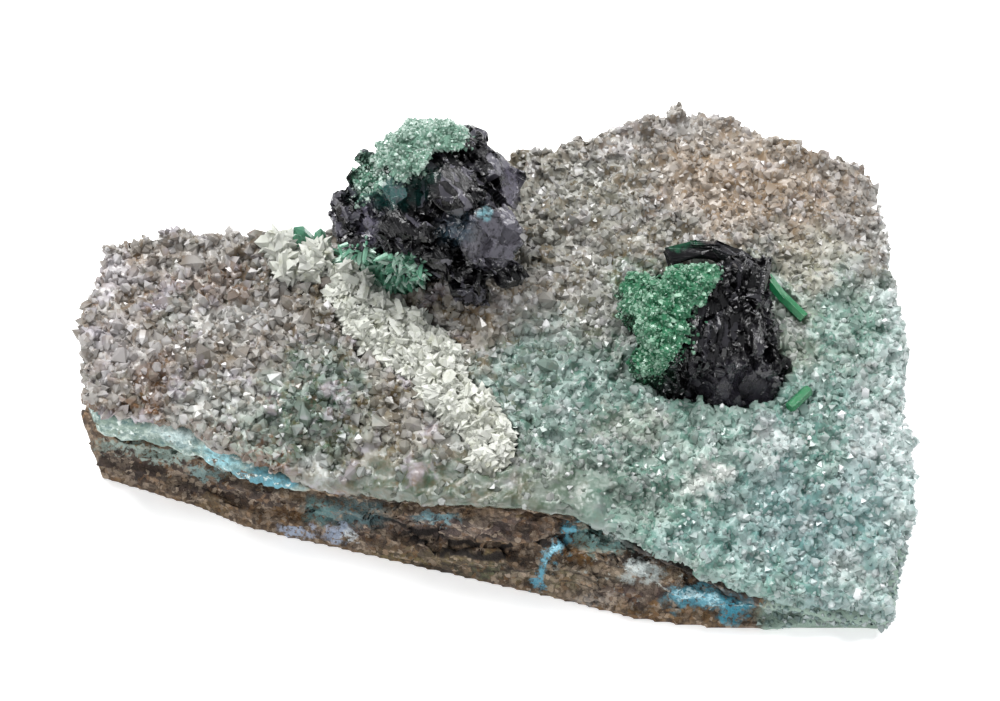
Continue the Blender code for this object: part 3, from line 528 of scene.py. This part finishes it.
QUARTZ_IOR = 1.544
WORN_SLOPE = (-3.0, -10.4, 11.5, 3.0)  # where it is and how far it reaches, as the viewer sees it
DRUSE_ZONES = [
    ((108, 144, 130), 1.0, 19.5, -7.5, 17.0, 13.5, 0.25), ((108, 150, 150), 0.85, 24.0, -12.5, 8.0, 8.5),
    ((88, 128, 116), 0.9, 2.2, -2.8, 5.5, 4.8), ((62, 84, 64), 0.95, -2.0, -9.6, 12.0, 2.8),
    ((140, 164, 148), 0.7, -15.6, -5.4, 4.0, 2.4), ((44, 88, 64), 1.0, -12.4, -3.8, 3.4, 3.8),
    ((100, 90, 62), 0.9, -7.0, -2.9, 2.4, 1.5),
    ((104, 92, 66), 0.85, -5.2, 3.2, 3.4, 1.0), ((132, 118, 96), 0.8, -1.6, 1.6, 1.7, 2.4),
    ((112, 104, 84), 0.8, -12.4, 3.0, 1.7, 1.8), ((122, 116, 94), 0.7, -8.0, -6.4, 4.0, 1.6),
    ((106, 106, 90), 0.8, 4.5, 9.5, 6.5, 5.5), ((146, 124, 98), 0.85, 17.5, 11.8, 6.5, 3.0),
    ((112, 108, 90), 0.8, 10.2, 8.2, 3.4, 1.8), ((84, 86, 68), 0.85, 7.8, 3.0, 1.8, 3.6),
    ((70, 110, 84), 0.7, 9.4, 4.2, 1.5, 2.4), ((152, 144, 122), 0.75, 21.5, 6.6, 2.6, 2.4),
    ((140, 140, 118), 0.6, 20.0, 1.2, 2.0, 2.4), ((128, 124, 104), 0.5, 9.0, -5.4, 3.0, 1.6),
    ((92, 58, 24), 1.0, -24.2, -2.4, 1.6, 1.7), ((92, 58, 24), 1.0, -26.0, -4.4, 3.4, 0.5),
    ((92, 58, 24), 1.0, -20.8, -5.5, 2.4, 0.5), ((100, 68, 36), 1.0, -17.0, -7.4, 2.2, 0.5),
    ((100, 68, 40), 0.8, -19.6, 4.8, 2.8, 1.0), ((100, 74, 48), 0.7, -24.5, 4.6, 1.6, 2.4),
    ((74, 78, 62), 0.8, -22.6, 2.8, 1.6, 1.0), ((76, 76, 60), 0.8, -16.2, 6.0, 1.8, 1.0),
    ((184, 184, 180), 0.7, -18.2, 2.2, 3.4, 1.1), ((180, 186, 180), 0.6, -19.6, -3.6, 3.2, 1.7),
    ((186, 180, 186), 0.6, -27.0, 5.6, 1.6, 1.4), ((180, 174, 176), 0.6, -27.2, 0.4, 1.6, 2.0),
    ((104, 150, 144), 0.7, 14.0, -12.8, 3.2, 1.6), ((104, 150, 136), 0.7, 19.4, -16.4, 2.6, 1.2),
    ((88, 130, 114), 0.7, 22.6, -7.0, 1.6, 3.0), ((208, 210, 204), 0.8, 14.8, -8.6, 1.9, 1.4),
    ((184, 190, 188), 0.6, 19.0, -6.4, 2.2, 1.0), ((182, 190, 190), 0.6, 26.2, -6.2, 2.0, 3.2),
    ((182, 194, 188), 0.5, 24.6, -16.0, 2.2, 1.8),
    ((196, 202, 200), 0.5, -12.0, -8.5, 1.3, 0.8), ((192, 208, 206), 0.7, 28.6, -6.0, 1.8, 15.0),
]


def druse_colours():
    """The ground between the quartz points, the points themselves, and a deep tone for dull ones."""
    outputs = {"Ground": "Color", "Points": "Color", "Deep": "Color"}
    tree, _, made = shader_group("druse_stains", {}, outputs)
    seen = strayed(tree, millimetres(tree), 1.3, 2.0)
    colour = mixed(tree, speckles(tree, 2.4, 0.5, 0.2), tone(146, 140, 133), tone(122, 112, 98))
    colour = painted(tree, seen, colour, DRUSE_ZONES)
    smoky = eased(tree, seen[0], -6.0, 2.0, 0.8, 0.3)
    for size, cover, shade in (
        (2.2, 0.34, (152, 144, 154)), (1.5, 0.3, (98, 96, 76)), (1.0, 0.26, (104, 76, 46)),
    ):
        blotches = times(tree, speckles(tree, size, cover, 0.07), smoky)
        colour = mixed(tree, blotches, colour, tone(*shade))
    green_side = area(tree, seen, 19.5, -7.0, 17.0, 12.0, 0.3)
    stain = mixed(tree, green_side, tone(108, 84, 56), tone(84, 124, 112))
    ground = mixed(tree, speckles(tree, 0.8, 0.5, 0.15), colour, stain)
    tree.links.new(mixed(tree, 0.5, colour, ground), made["Ground"])
    tree.links.new(mixed(tree, 0.2, colour, tone(240, 241, 240)), made["Points"])
    tree.links.new(mixed(tree, 0.5, colour, stain), made["Deep"])
    return tree


druse_nodes = druse_colours()


def kept(tree, name):
    """A number, 0 to 1, that a mesh carries: the tint that each of its faces or crystals has of its own,
    or the rise, which is how high up its crystal a place is."""
    return node(tree, "ShaderNodeAttribute", attribute_name=name).outputs["Fac"]


def bed_finish():
    """The ground between the points: stained and faceted, and milky and calmer on the worn slope."""
    made, tree, inputs = finish("druse_ground", Roughness=0.25, IOR=QUARTZ_IOR, Transmission_Weight=0.2)
    stains = node(tree, "ShaderNodeGroup", node_tree=druse_nodes).outputs
    own = kept(tree, "tint")
    slope = area(tree, as_seen(tree, millimetres(tree)), *WORN_SLOPE, 0.3)
    facets = times(tree, eased(tree, own, 0.1, 0.9), eased(tree, slope, 0.0, 1.0, 1.0, 0.3))
    milk = times(tree, speckles(tree, 1.3, 0.4, 0.2), slope)
    colour = mixed(tree, math_node(tree, "MAXIMUM", facets, milk), stains["Ground"], stains["Points"])
    tree.links.new(colour, inputs["Base Color"])
    fine_bump(tree, inputs, 0.25, 0.06)
    return made


def worn(tree, place):
    """The share of broken faces on the ground, which has fewer on the worn slope."""
    slope = area(tree, strayed(tree, place, 1.0, 3.0), *WORN_SLOPE, 0.2)
    return eased(tree, slope, 0.0, 1.0, 1.0, 0.4)


bed = solid_copy("quartz_druse", "druse_ground")
remesh(bed, 0.23)
shape(bed, "SMOOTH", factor=0.5, iterations=3)
relief(bed, 0.0, [((2.2, 2.2, 2.2), 0.25)])
faceted(bed, (0.8, 0.8, 0.8), 0.55, 0.16, calm=worn)
smooth(bed)
dress(bed, bed_finish(), "drusy_quartz", "quartz_druse")


def select_faces(piece, chosen):
    """Selects the faces that pass a test, and goes into edit mode."""
    bpy.ops.object.mode_set(mode="EDIT")
    bpy.ops.mesh.select_mode(type="FACE")
    bpy.ops.mesh.select_all(action="DESELECT")
    bpy.ops.object.mode_set(mode="OBJECT")
    for face in piece.data.polygons:
        face.select = chosen(face)
    bpy.ops.object.mode_set(mode="EDIT")


def open_foot(piece):
    """Takes off a crystal's bottom face, which is always sunk in the ground, and leaves edit mode."""
    select_faces(piece, lambda face: face.normal.z < -0.9)
    bpy.ops.mesh.delete(type="ONLY_FACE")
    bpy.ops.object.mode_set(mode="OBJECT")


def into_kit(kit, piece, flat):
    """Flattens a crystal, moves it into its kit and keeps how high each of its corners is, 0 to 1."""
    piece.scale = (1.0, flat, 1.0)
    bpy.ops.object.transform_apply(location=False, rotation=False, scale=True)
    piece.users_collection[0].objects.unlink(piece)
    kit.objects.link(piece)
    heights = [vertex.co.z for vertex in piece.data.vertices]
    rise = piece.data.attributes.new("rise", "FLOAT", "POINT")
    rise.data.foreach_set("value", [height / max(heights) for height in heights])


def point_kit(name, tips, taper=1.0, flat=1.0):
    """A few crystals to scatter, each a prism one unit wide with a skew point. A tip is the number of
    sides, the height of the shaft, the height of the point, and how far its end is off the axis."""
    kit = bpy.data.collections.new(name)
    for number, (sides, shaft, point, skew) in enumerate(tips):
        bpy.ops.object.select_all(action="DESELECT")
        bpy.ops.mesh.primitive_cone_add(
            vertices=sides, radius1=0.5, radius2=0.5 * taper, depth=shaft, end_fill_type="NGON",
            location=(0, 0, shaft / 2),
        )
        crystal = bpy.context.object
        crystal.name = f"{name}_{number}"
        bpy.ops.object.transform_apply(location=True, rotation=False, scale=False)
        select_faces(crystal, lambda face: face.normal.z > 0.9)
        bpy.ops.mesh.poke()
        bpy.ops.mesh.select_mode(type="VERT")
        bpy.ops.mesh.select_all(action="DESELECT")
        bpy.ops.object.mode_set(mode="OBJECT")
        for vertex in crystal.data.vertices:
            vertex.select = vertex.co.z > shaft * 0.99 and vertex.co.xy.length < 0.01
        bpy.ops.object.mode_set(mode="EDIT")
        bpy.ops.transform.translate(value=(skew, skew * 0.5, point))
        open_foot(crystal)
        into_kit(kit, crystal, flat)
    return kit


def random_value(tree, low, high, seed):
    """A number of its own for each point. The node's sockets for such numbers are 2, 3 and output 1."""
    made = node(tree, "FunctionNodeRandomValue", {"Seed": seed}, data_type="FLOAT")
    made.inputs[2].default_value, made.inputs[3].default_value = low, high
    return made.outputs[1]


CROWDING = 1.6e6  # points that are tried in a square metre, at a spacing of one millimetre
BARE_BELOW = (0.35, 0.6)  # millimetres above the table: nothing grows under the first, all over the second
GRAIN_STRAY = math.radians(16)  # how far crystals that line up may turn away from their grain


def scatter(name, ground, kit, spacing, sizes, lean, seed, growth=None, grain=None, sink=0.3, rare=2.0):
    """A piece made of crystals that stand all over a surface. Spacing and sizes are millimetres, lean is
    how far a crystal tips at most, in degrees, growth gives the share that grows at a place, grain is
    a direction that they all line up with, sink is how much of its width each one is sunk, and the
    rarer large crystals are, the higher is rare."""
    tree, mesh, place, normal, out = geometry_tree(name)
    above_table = eased(tree, axes(tree, place)[2], *BARE_BELOW)
    share = times(tree, above_table, growth(tree, place, normal) if growth else 1.0)
    points = node(tree, "GeometryNodeDistributePointsOnFaces", {
        "Mesh": mesh, "Distance Min": spacing * MM, "Density Max": CROWDING / spacing ** 2,
        "Density Factor": share, "Seed": seed,
    }, distribute_method="POISSON")
    stance = points.outputs["Rotation"]
    yaw = math.pi
    if grain:
        stance = node(tree, "FunctionNodeAlignRotationToVector", {"Rotation": stance, "Vector": grain},
                      axis="X", pivot_axis="Z").outputs[0]
        yaw = GRAIN_STRAY
    tip = math.radians(lean)
    turn = node(tree, "ShaderNodeCombineXYZ", {
        0: random_value(tree, -tip, tip, seed + 1), 1: random_value(tree, -tip, tip, seed + 2),
        2: random_value(tree, -yaw, yaw, seed + 3),
    }).outputs[0]
    turned = node(tree, "FunctionNodeRotateRotation", {
        "Rotation": stance, "Rotate By": node(tree, "FunctionNodeEulerToRotation", {0: turn}).outputs[0],
    }, rotation_space="LOCAL").outputs[0]
    small, large = sizes
    chance = math_node(tree, "POWER", random_value(tree, 0.0, 1.0, seed + 4), rare)
    size = eased(tree, chance, 0.0, 1.0, small * MM, large * MM)
    length = times(tree, size, random_value(tree, 0.8, 1.25, seed + 5))
    scale = node(tree, "ShaderNodeCombineXYZ", {0: size, 1: size, 2: length}).outputs[0]
    choice = node(tree, "FunctionNodeRandomValue", {"Seed": seed + 6}, data_type="INT")
    choice.inputs[4].default_value, choice.inputs[5].default_value = 0, len(kit.objects) - 1
    shapes = node(tree, "GeometryNodeCollectionInfo", {"Collection": kit, "Separate Children": True})
    stood = node(tree, "GeometryNodeInstanceOnPoints", {
        "Points": points.outputs["Points"], "Instance": shapes.outputs[0], "Pick Instance": True,
        "Instance Index": choice.outputs[2], "Rotation": turned, "Scale": scale,
    }).outputs[0]
    lowered = node(tree, "GeometryNodeTranslateInstances", {
        "Instances": stood, "Local Space": True,
        "Translation": node(tree, "ShaderNodeCombineXYZ", {2: -sink}).outputs[0],
    }).outputs[0]
    tinted = node(tree, "GeometryNodeStoreNamedAttribute", {
        "Geometry": lowered, "Name": "tint", "Value": random_value(tree, 0.0, 1.0, seed + 7),
    }, data_type="FLOAT", domain="INSTANCE").outputs[0]
    tree.links.new(node(tree, "GeometryNodeRealizeInstances", {0: tinted}).outputs[0], out)
    piece = bpy.data.objects.new(name, ground.data.copy())
    bpy.context.scene.collection.objects.link(piece)
    shape(piece, "NODES", node_group=tree)
    return piece


def quartz_finish(name, clear, dull, bright):
    """Quartz in the colours of its stains: darkest at its foot, and each point between dull and bright."""
    made, tree, inputs = finish(name, Roughness=0.26, IOR=QUARTZ_IOR, Transmission_Weight=clear)
    stains = node(tree, "ShaderNodeGroup", node_tree=druse_nodes).outputs
    own = kept(tree, "tint")
    colour = mixed(tree, eased(tree, own, 0.0, 0.5, dull, 0.0), stains["Points"], stains["Deep"])
    colour = mixed(tree, eased(tree, own, 0.6, 1.0, 0.0, bright), colour, tone(248, 246, 248))
    colour = mixed(tree, eased(tree, kept(tree, "rise"), 0.1, 0.6, 0.45, 1.0), stains["Deep"], colour)
    tree.links.new(colour, inputs["Base Color"])
    return made


def quartz_growth(start, end, share=1.0, facing_from=-0.4, smooth_share=0.2):
    """Quartz that stands on upward faces and sides, from none at one x to all at another, and is sparse
    on the slope that the water smoothed at the front."""
    def grown(tree, place, normal):
        facing = axes(tree, normal)[2]
        seen = strayed(tree, place, 2.0, 3.0)
        amount = times(tree, eased(tree, facing, facing_from, facing_from + 0.3), share)
        slope = area(tree, seen, *WORN_SLOPE, 0.2)
        amount = times(tree, amount, eased(tree, slope, 0.0, 1.0, 1.0, smooth_share))
        low, high = sorted((start, end))
        side = eased(tree, seen[0], low, high, float(start > end), float(start < end))
        return times(tree, amount, side)
    return grown


coarse_kit = point_kit("coarse_point", [(6, 0.7, 0.45, 0.1), (5, 0.6, 0.5, 0.15), (4, 0.8, 0.4, -0.2),
                                        (6, 0.6, 0.6, 0.2), (3, 0.9, 0.4, 0.1)], 0.92, 0.9)
fine_kit = point_kit("fine_point", [(5, 0.6, 0.3, 0.15), (4, 0.5, 0.4, 0.2), (3, 0.7, 0.36, -0.12),
                                    (6, 0.6, 0.34, 0.2)], 0.9, 0.85)
clear_quartz = quartz_finish("clear_quartz", 0.4, 0.45, 0.36)
sugary_quartz = quartz_finish("sugary_quartz", 0.4, 0.3, 0.3)
milky_quartz = quartz_finish("milky_quartz", 0.15, 0.0, 0.7)
for name, material, kit, spacing, sizes, lean, seed, sink, growth in (
    ("quartz_left", clear_quartz, coarse_kit, 0.42, (0.38, 0.95), 34, 20, 0.56,
     quartz_growth(3, -7, 1.0, 0.0)),
    ("quartz_right", sugary_quartz, fine_kit, 0.38, (0.4, 0.85), 40, 40, 0.56, quartz_growth(-9, 3)),
    ("quartz_large", clear_quartz, coarse_kit, 1.7, (0.9, 1.7), 24, 60, 0.6,
     quartz_growth(8, -4, 0.9, 0.4, 0.0)),
    ("quartz_milky", milky_quartz, coarse_kit, 1.5, (0.4, 0.8), 30, 70, 0.55,
     quartz_growth(40, 32, 0.7, 0.3)),
):
    points = scatter(name, bed, kit, spacing, sizes, lean, seed, growth, sink=sink)
    dress(points, material, "drusy_quartz")


def right_end(tree, place, normal):
    """The right end of the rock and the seam, that quartz covers down to the base."""
    return eased(tree, strayed(tree, place, 0.4, 1.5)[0], 17.6, 18.4)


for ground in (rock, seam):
    edge = scatter("quartz_edge_" + ground.name, ground, fine_kit, 0.34, (0.36, 0.75), 30, 90, right_end,
                   sink=0.5)
    dress(edge, sugary_quartz, "drusy_quartz")

# --- Black crystal clusters ---
# Two tight clusters of clinoatacamite: black-green blades and blocks with stepped, finely ridged faces
# and a glassy shine, with a painted lilac sheen and painted reflections on some faces. The rear one
# stands proud on a narrow foot, the front one lies in the crust.


def in_view(right, up, out=0.0):
    """A direction given as the viewer sees it: right, up, and out towards the eye."""
    sin, cos = math.sin(VIEW_TILT), math.cos(VIEW_TILT)
    return Vector((right, up * sin - out * cos, up * cos + out * sin)).normalized()


def black_finish(name, areas, painted_sheen_share, grain):
    """Black crystal, finely ridged along its grain, with a painted lilac sheen on some of its faces,
    dusted green areas, and painted reflections on broad plain faces."""
    made, tree, inputs = finish(name, IOR=1.55)
    place = millimetres(tree)
    seen = strayed(tree, place, 0.3, 0.8)
    own = kept(tree, "tint")
    colour = mixed(tree, speckles(tree, 0.8, 0.3, 0.1), tone(4, 3, 5), tone(17, 14, 18))
    # Painted reflection: a lilac-grey sheen on the faces whose own number is high.
    painted_sheen = times(tree, eased(tree, own, 0.78, 0.95), painted_sheen_share)
    colour = mixed(tree, painted_sheen, colour, tone(100, 98, 108))
    colour = painted(tree, seen, colour, areas, speckles(tree, 0.35, 0.62, 0.15))
    tree.links.new(colour, inputs["Base Color"])
    rough = eased(tree, speckles(tree, 0.9, 0.5, 0.2), 0.0, 1.0, 0.08, 0.26)
    tree.links.new(rough, inputs["Roughness"])
    ridges = along_grain(tree, place, grain, (1.4, 0.16, 0.3))[0]
    fine_bump(tree, inputs, 1.0, 0.06, place=ridges)
    return made


def shard_kit(name, shards):
    """Steps and chips of black crystal to scatter, one unit long. Each is its width, its height, and how
    far its top leans along it."""
    kit = bpy.data.collections.new(name)
    for number, (width, height, slant) in enumerate(shards):
        bpy.ops.object.select_all(action="DESELECT")
        bpy.ops.mesh.primitive_cube_add(size=1, location=(0, 0, 0.5))
        chip = bpy.context.object
        chip.name = f"{name}_{number}"
        chip.scale = (1.0, width, height)
        bpy.ops.object.transform_apply(location=True, rotation=False, scale=True)
        select_faces(chip, lambda face: face.normal.z > 0.9)
        bpy.ops.transform.translate(value=(slant, 0, 0))
        bpy.ops.mesh.inset(thickness=0.08 * width + 0.02, depth=0.04)
        open_foot(chip)
        into_kit(kit, chip, 1.0)
    return kit


def only_in(*ovals, inside=True):
    """Crystals that grow in a few ovals alone, with ragged edges, or everywhere but there."""
    def grown(tree, place, normal):
        seen = strayed(tree, place, 0.5, 1.2)
        amount = 0.0
        for oval in ovals:
            amount = math_node(tree, "MAXIMUM", area(tree, seen, *oval, 0.3), amount)
        return amount if inside else math_node(tree, "SUBTRACT", 1.0, amount)
    return grown


def jumbled(*plain):
    """The share of small faces on a cluster, whose broad plain faces are a few ovals."""
    def calm(tree, place):
        amount = only_in(*plain, inside=False)(tree, place, None)
        return eased(tree, amount, 0.0, 1.0, 0.1, 1.0)
    return calm


chip_kit = shard_kit("chip", [(0.5, 0.6, 0.2), (0.7, 0.5, -0.15), (0.4, 0.8, 0.25)])
for cad_node, name, grain, painted_sheen_share, passes, plain, areas, seed in (
    ("clinoatacamite_back", "cluster_back", in_view(0.6, -0.8), 0.5,
     [((2.8, 1.7, 2.0), 0.2, 0.2), ((1.1, 0.55, 0.7), 0.22, 0.07)],
     [(-0.4, 7.8, 2.2, 2.0), (0.4, 11.6, 1.2, 2.6), (-7.0, 10.4, 1.8, 1.2), (-3.4, 11.6, 1.8, 1.1),
      (-3.6, 5.0, 1.6, 1.0), (-10.4, 6.3, 1.6, 1.4), (-7.4, 5.2, 2.2, 1.4)], [
         # Painted reflections: the lavender-grey areas on the broad plain faces; the green ones are dust.
         ((88, 86, 94), 0.9, -0.3, 7.8, 2.4, 2.0, 0.15), ((30, 72, 68), 0.8, -7.8, 10.9, 2.2, 1.0),
         ((100, 150, 158), 0.7, -1.0, 9.4, 0.5, 0.4), ((40, 56, 66), 0.8, -3.0, 8.4, 1.3, 1.0),
         ((88, 136, 112), 0.8, -9.2, 12.2, 1.0, 1.4), ((90, 86, 100), 0.6, 0.8, 11.6, 0.7, 1.6),
         ((60, 92, 84), 0.5, -6.4, 12.2, 2.0, 0.8), ((98, 94, 112), 0.6, -9.2, 8.8, 0.5, 1.6),
     ], 80),
    ("clinoatacamite_front", "cluster_front", in_view(0.1, 1.0), 0.15,
     [((3.4, 1.5, 1.8), 0.25, 0.2), ((1.8, 0.4, 0.6), 0.4, 0.16)], [(17.0, -2.6, 1.8, 1.4)], [
         # Painted reflection: the grey area on the broad plain face at the right; the green ones are dust.
         ((46, 44, 52), 0.7, 16.8, -2.4, 2.6, 1.6), ((40, 84, 60), 0.6, 10.2, -0.6, 1.6, 2.6),
         ((64, 100, 76), 0.6, 9.0, 4.0, 1.0, 3.0),
     ], 100),
):
    core = solid_copy(cad_node, name)
    remesh(core, 0.1)
    faceted(core, *passes[0], grain)
    faceted(core, *passes[1], grain, jumbled(*plain))
    shape(core, "DECIMATE", ratio=0.5)
    black = black_finish(name, areas, painted_sheen_share, grain)
    dress(core, black, "clinoatacamite", cad_node)
    chips = scatter(name + "_chips", core, chip_kit, 1.0, (0.2, 0.45), 16, seed,
                    only_in(*plain, inside=False), grain, 0.56)
    dress(chips, black, "clinoatacamite")


SHARP = math.radians(25)  # edges that turn by more than this are rounded


def bevel(piece, width, segments):
    """Rounds a piece's sharp edges, by a width in millimetres."""
    shape(piece, "BEVEL", width=width * MM, segments=segments, limit_method="ANGLE", angle_limit=SHARP)


blade = solid_copy("clinoatacamite_blade", "blade")
bevel(blade, 0.1, 2)
faceted(blade, (0.8, 0.3, 0.4), 0.3, 0.08)
green_dust = [((40, 96, 70), 0.7, 12.2, 7.6, 1.6, 0.5)]
# The blade gets a faint painted lilac sheen on some of its faces.
dress(blade, black_finish("arched_blade", green_dust, 0.1, in_view(1.0, 0.0)), "clinoatacamite",
      "clinoatacamite_blade")

# --- Green crystals ---
# Crusts of small green crystals: one caps the rear cluster, one grows at its foot, and a brighter one
# covers the near shoulder of the front cluster. A green point and two green rods stand by themselves.


def green_finish(name, deep, bright):
    """Glassy green, each grain between deep and bright, with deep blotches."""
    made, tree, inputs = finish(name, Roughness=0.25, IOR=1.6, Transmission_Weight=0.3)
    colour = mixed(tree, eased(tree, kept(tree, "tint"), 0.2, 1.0), tone(*deep), tone(*bright))
    colour = mixed(tree, times(tree, speckles(tree, 1.0, 0.4, 0.1), 0.6), colour, tone(*deep))
    tree.links.new(colour, inputs["Base Color"])
    fine_bump(tree, inputs, 0.15, 0.03)
    return made


grain_kit = point_kit("green_grain", [(4, 0.7, 0.4, 0.1), (5, 0.6, 0.4, 0.2), (3, 0.8, 0.4, 0.1)], 0.85)
spike_kit = point_kit("green_spike", [(5, 1.6, 0.6, 0.05), (4, 1.2, 0.8, -0.1), (5, 2.0, 0.5, 0.0)], 0.7)
for cad_node, name, kit, spacing, sizes, deep, bright, seed in (
    ("green_cap_back", "green_cap", grain_kit, 0.17, (0.16, 0.38), (112, 148, 130), (196, 214, 204), 120),
    ("green_foot_back", "green_foot", spike_kit, 0.3, (0.28, 0.55), (100, 160, 132), (200, 224, 210), 140),
    ("green_crust_front", "green_crust", grain_kit, 0.17, (0.16, 0.4), (54, 118, 84), (160, 198, 174), 160),
):
    ground = solid_copy(cad_node, name)
    material = green_finish(name, deep, bright)
    dress(ground, material, "green_crystals", cad_node)
    grains = scatter(name + "_grains", ground, kit, spacing, sizes, 40, seed, sink=0.4, rare=1.5)
    dress(grains, material, "green_crystals")
for ground, name, kit, spacing, sizes, ovals, material in (
    ("cluster_back", "cap_dust", grain_kit, 0.2, (0.14, 0.36),
     [(-5.2, 15.0, 3.0, 1.5), (-7.6, 13.2, 2.2, 1.6), (-9.4, 11.4, 0.9, 1.2)],
     "green_cap"),
    ("cluster_back", "foot_spikes", spike_kit, 0.24, (0.22, 0.46),
     [(-10.4, 6.4, 1.4, 1.2), (-7.6, 5.3, 2.3, 1.4)], "green_foot"),
    ("cluster_front", "crust_dust", grain_kit, 0.2, (0.14, 0.36),
     [(10.6, 3.0, 3.0, 3.6), (12.8, 5.4, 2.6, 1.6), (9.8, 0.4, 1.8, 2.6)], "green_crust"),
):
    dust = scatter(name, bpy.data.objects[ground], kit, spacing, sizes, 40, 165, only_in(*ovals),
                   sink=0.35, rare=1.5)
    dress(dust, bpy.data.materials[material], "green_crystals")
for cad_node, deep, bright in (
    ("green_point", (92, 150, 122), (160, 204, 182)), ("green_rod_1", (34, 120, 74), (110, 184, 140)),
    ("green_rod_2", (34, 120, 74), (110, 184, 140)),
):
    crystal = solid_copy(cad_node, cad_node + "_body")
    bevel(crystal, 0.12, 3)
    dress(crystal, green_finish(cad_node, deep, bright), "green_crystals", cad_node)

# --- White crystals ---
# A chain of jagged, snow-white crystals that runs down the slope from the green foot, and beyond its
# upper end a small group of clearer ones. The blades are satiny and a little see-through.

GREEN_FOOT = (-6.9, 5.7, 2.3, 1.4)  # where the green foot is, as the viewer sees it: no blades grow there


def white_finish(name, clear):
    made, tree, inputs = finish(name, Roughness=0.6, IOR=1.5, Transmission_Weight=clear)
    colour = mixed(tree, kept(tree, "tint"), tone(208, 210, 200), tone(222, 223, 216))
    colour = mixed(tree, speckles(tree, 1.1, 0.3, 0.1), colour, tone(186, 188, 170))
    tree.links.new(colour, inputs["Base Color"])
    fine_bump(tree, inputs, 0.2, 0.03, 0.6)
    return made


white_kit = point_kit("white_blade", [(4, 0.9, 0.5, 0.15), (5, 0.8, 0.6, -0.2), (4, 1.1, 0.4, 0.0)],
                      0.85, 0.6)
for cad_node, name, clear, spacing, sizes, seed in (
    ("white_chain", "chain", 0.25, 0.25, (0.4, 0.95), 180),
    ("white_group", "group", 0.3, 0.34, (0.55, 1.15), 200),
):
    ground = solid_copy(cad_node, name)
    material = white_finish(name, clear)
    dress(ground, material, "white_crystals", cad_node)
    blades = scatter(name + "_blades", ground, white_kit, spacing, sizes, 30, seed,
                     only_in(GREEN_FOOT, inside=False), sink=0.75, rare=1.3)
    dress(blades, material, "white_crystals")

# --- Table, light and view ---
# The specimen lies on a plain white table in soft studio light: a broad lamp high at the back left, a
# smaller one at the right and a weak one at the front left, in a pale room.

VIEW_DISTANCE = 0.389  # metres

bpy.ops.object.select_all(action="DESELECT")
bpy.ops.mesh.primitive_plane_add(size=3.0)
table = bpy.context.object
table.name = "table"
paper, tree, inputs = finish("white_paper", Roughness=0.9)
inputs["Base Color"].default_value = (0.9, 0.9, 0.9, 1.0)
inputs["Emission Color"].default_value = (1.0, 1.0, 1.0, 1.0)
inputs["Emission Strength"].default_value = 0.35
table.data.materials.append(paper)

room = bpy.data.worlds.new("room")
bpy.context.scene.world = room
room.use_nodes = True
air = room.node_tree.nodes["Background"].inputs
air["Color"].default_value = (0.95, 0.97, 1.0, 1.0)
air["Strength"].default_value = 0.42


def lamp(name, azimuth, elevation, distance, size, power):
    """A square lamp aimed at the specimen from an azimuth, 0 in front and 90 at the right."""
    side, rise = math.radians(azimuth), math.radians(elevation)
    away = Vector((math.sin(side) * math.cos(rise), -math.cos(side) * math.cos(rise), math.sin(rise)))
    light = bpy.data.lights.new(name, "AREA")
    light.size, light.energy = size, power
    holder = bpy.data.objects.new(name, light)
    bpy.context.scene.collection.objects.link(holder)
    holder.location = VIEW_MIDDLE + away * distance
    holder.rotation_euler = away.to_track_quat("Z", "Y").to_euler()


lamp("key", 215, 60, 0.5, 0.22, 3.2)
lamp("side", 110, 45, 0.5, 0.16, 1.6)
lamp("front", -35, 40, 0.55, 0.2, 1.2)

camera = bpy.data.cameras.new("camera")
camera.lens, camera.sensor_width = 200, 36
viewer = bpy.data.objects.new("camera", camera)
bpy.context.scene.collection.objects.link(viewer)
towards_eye = Vector((0, -math.cos(VIEW_TILT), math.sin(VIEW_TILT)))
viewer.location = VIEW_MIDDLE + towards_eye * VIEW_DISTANCE
viewer.rotation_euler = (math.pi / 2 - VIEW_TILT, 0, 0)
bpy.context.scene.camera = viewer
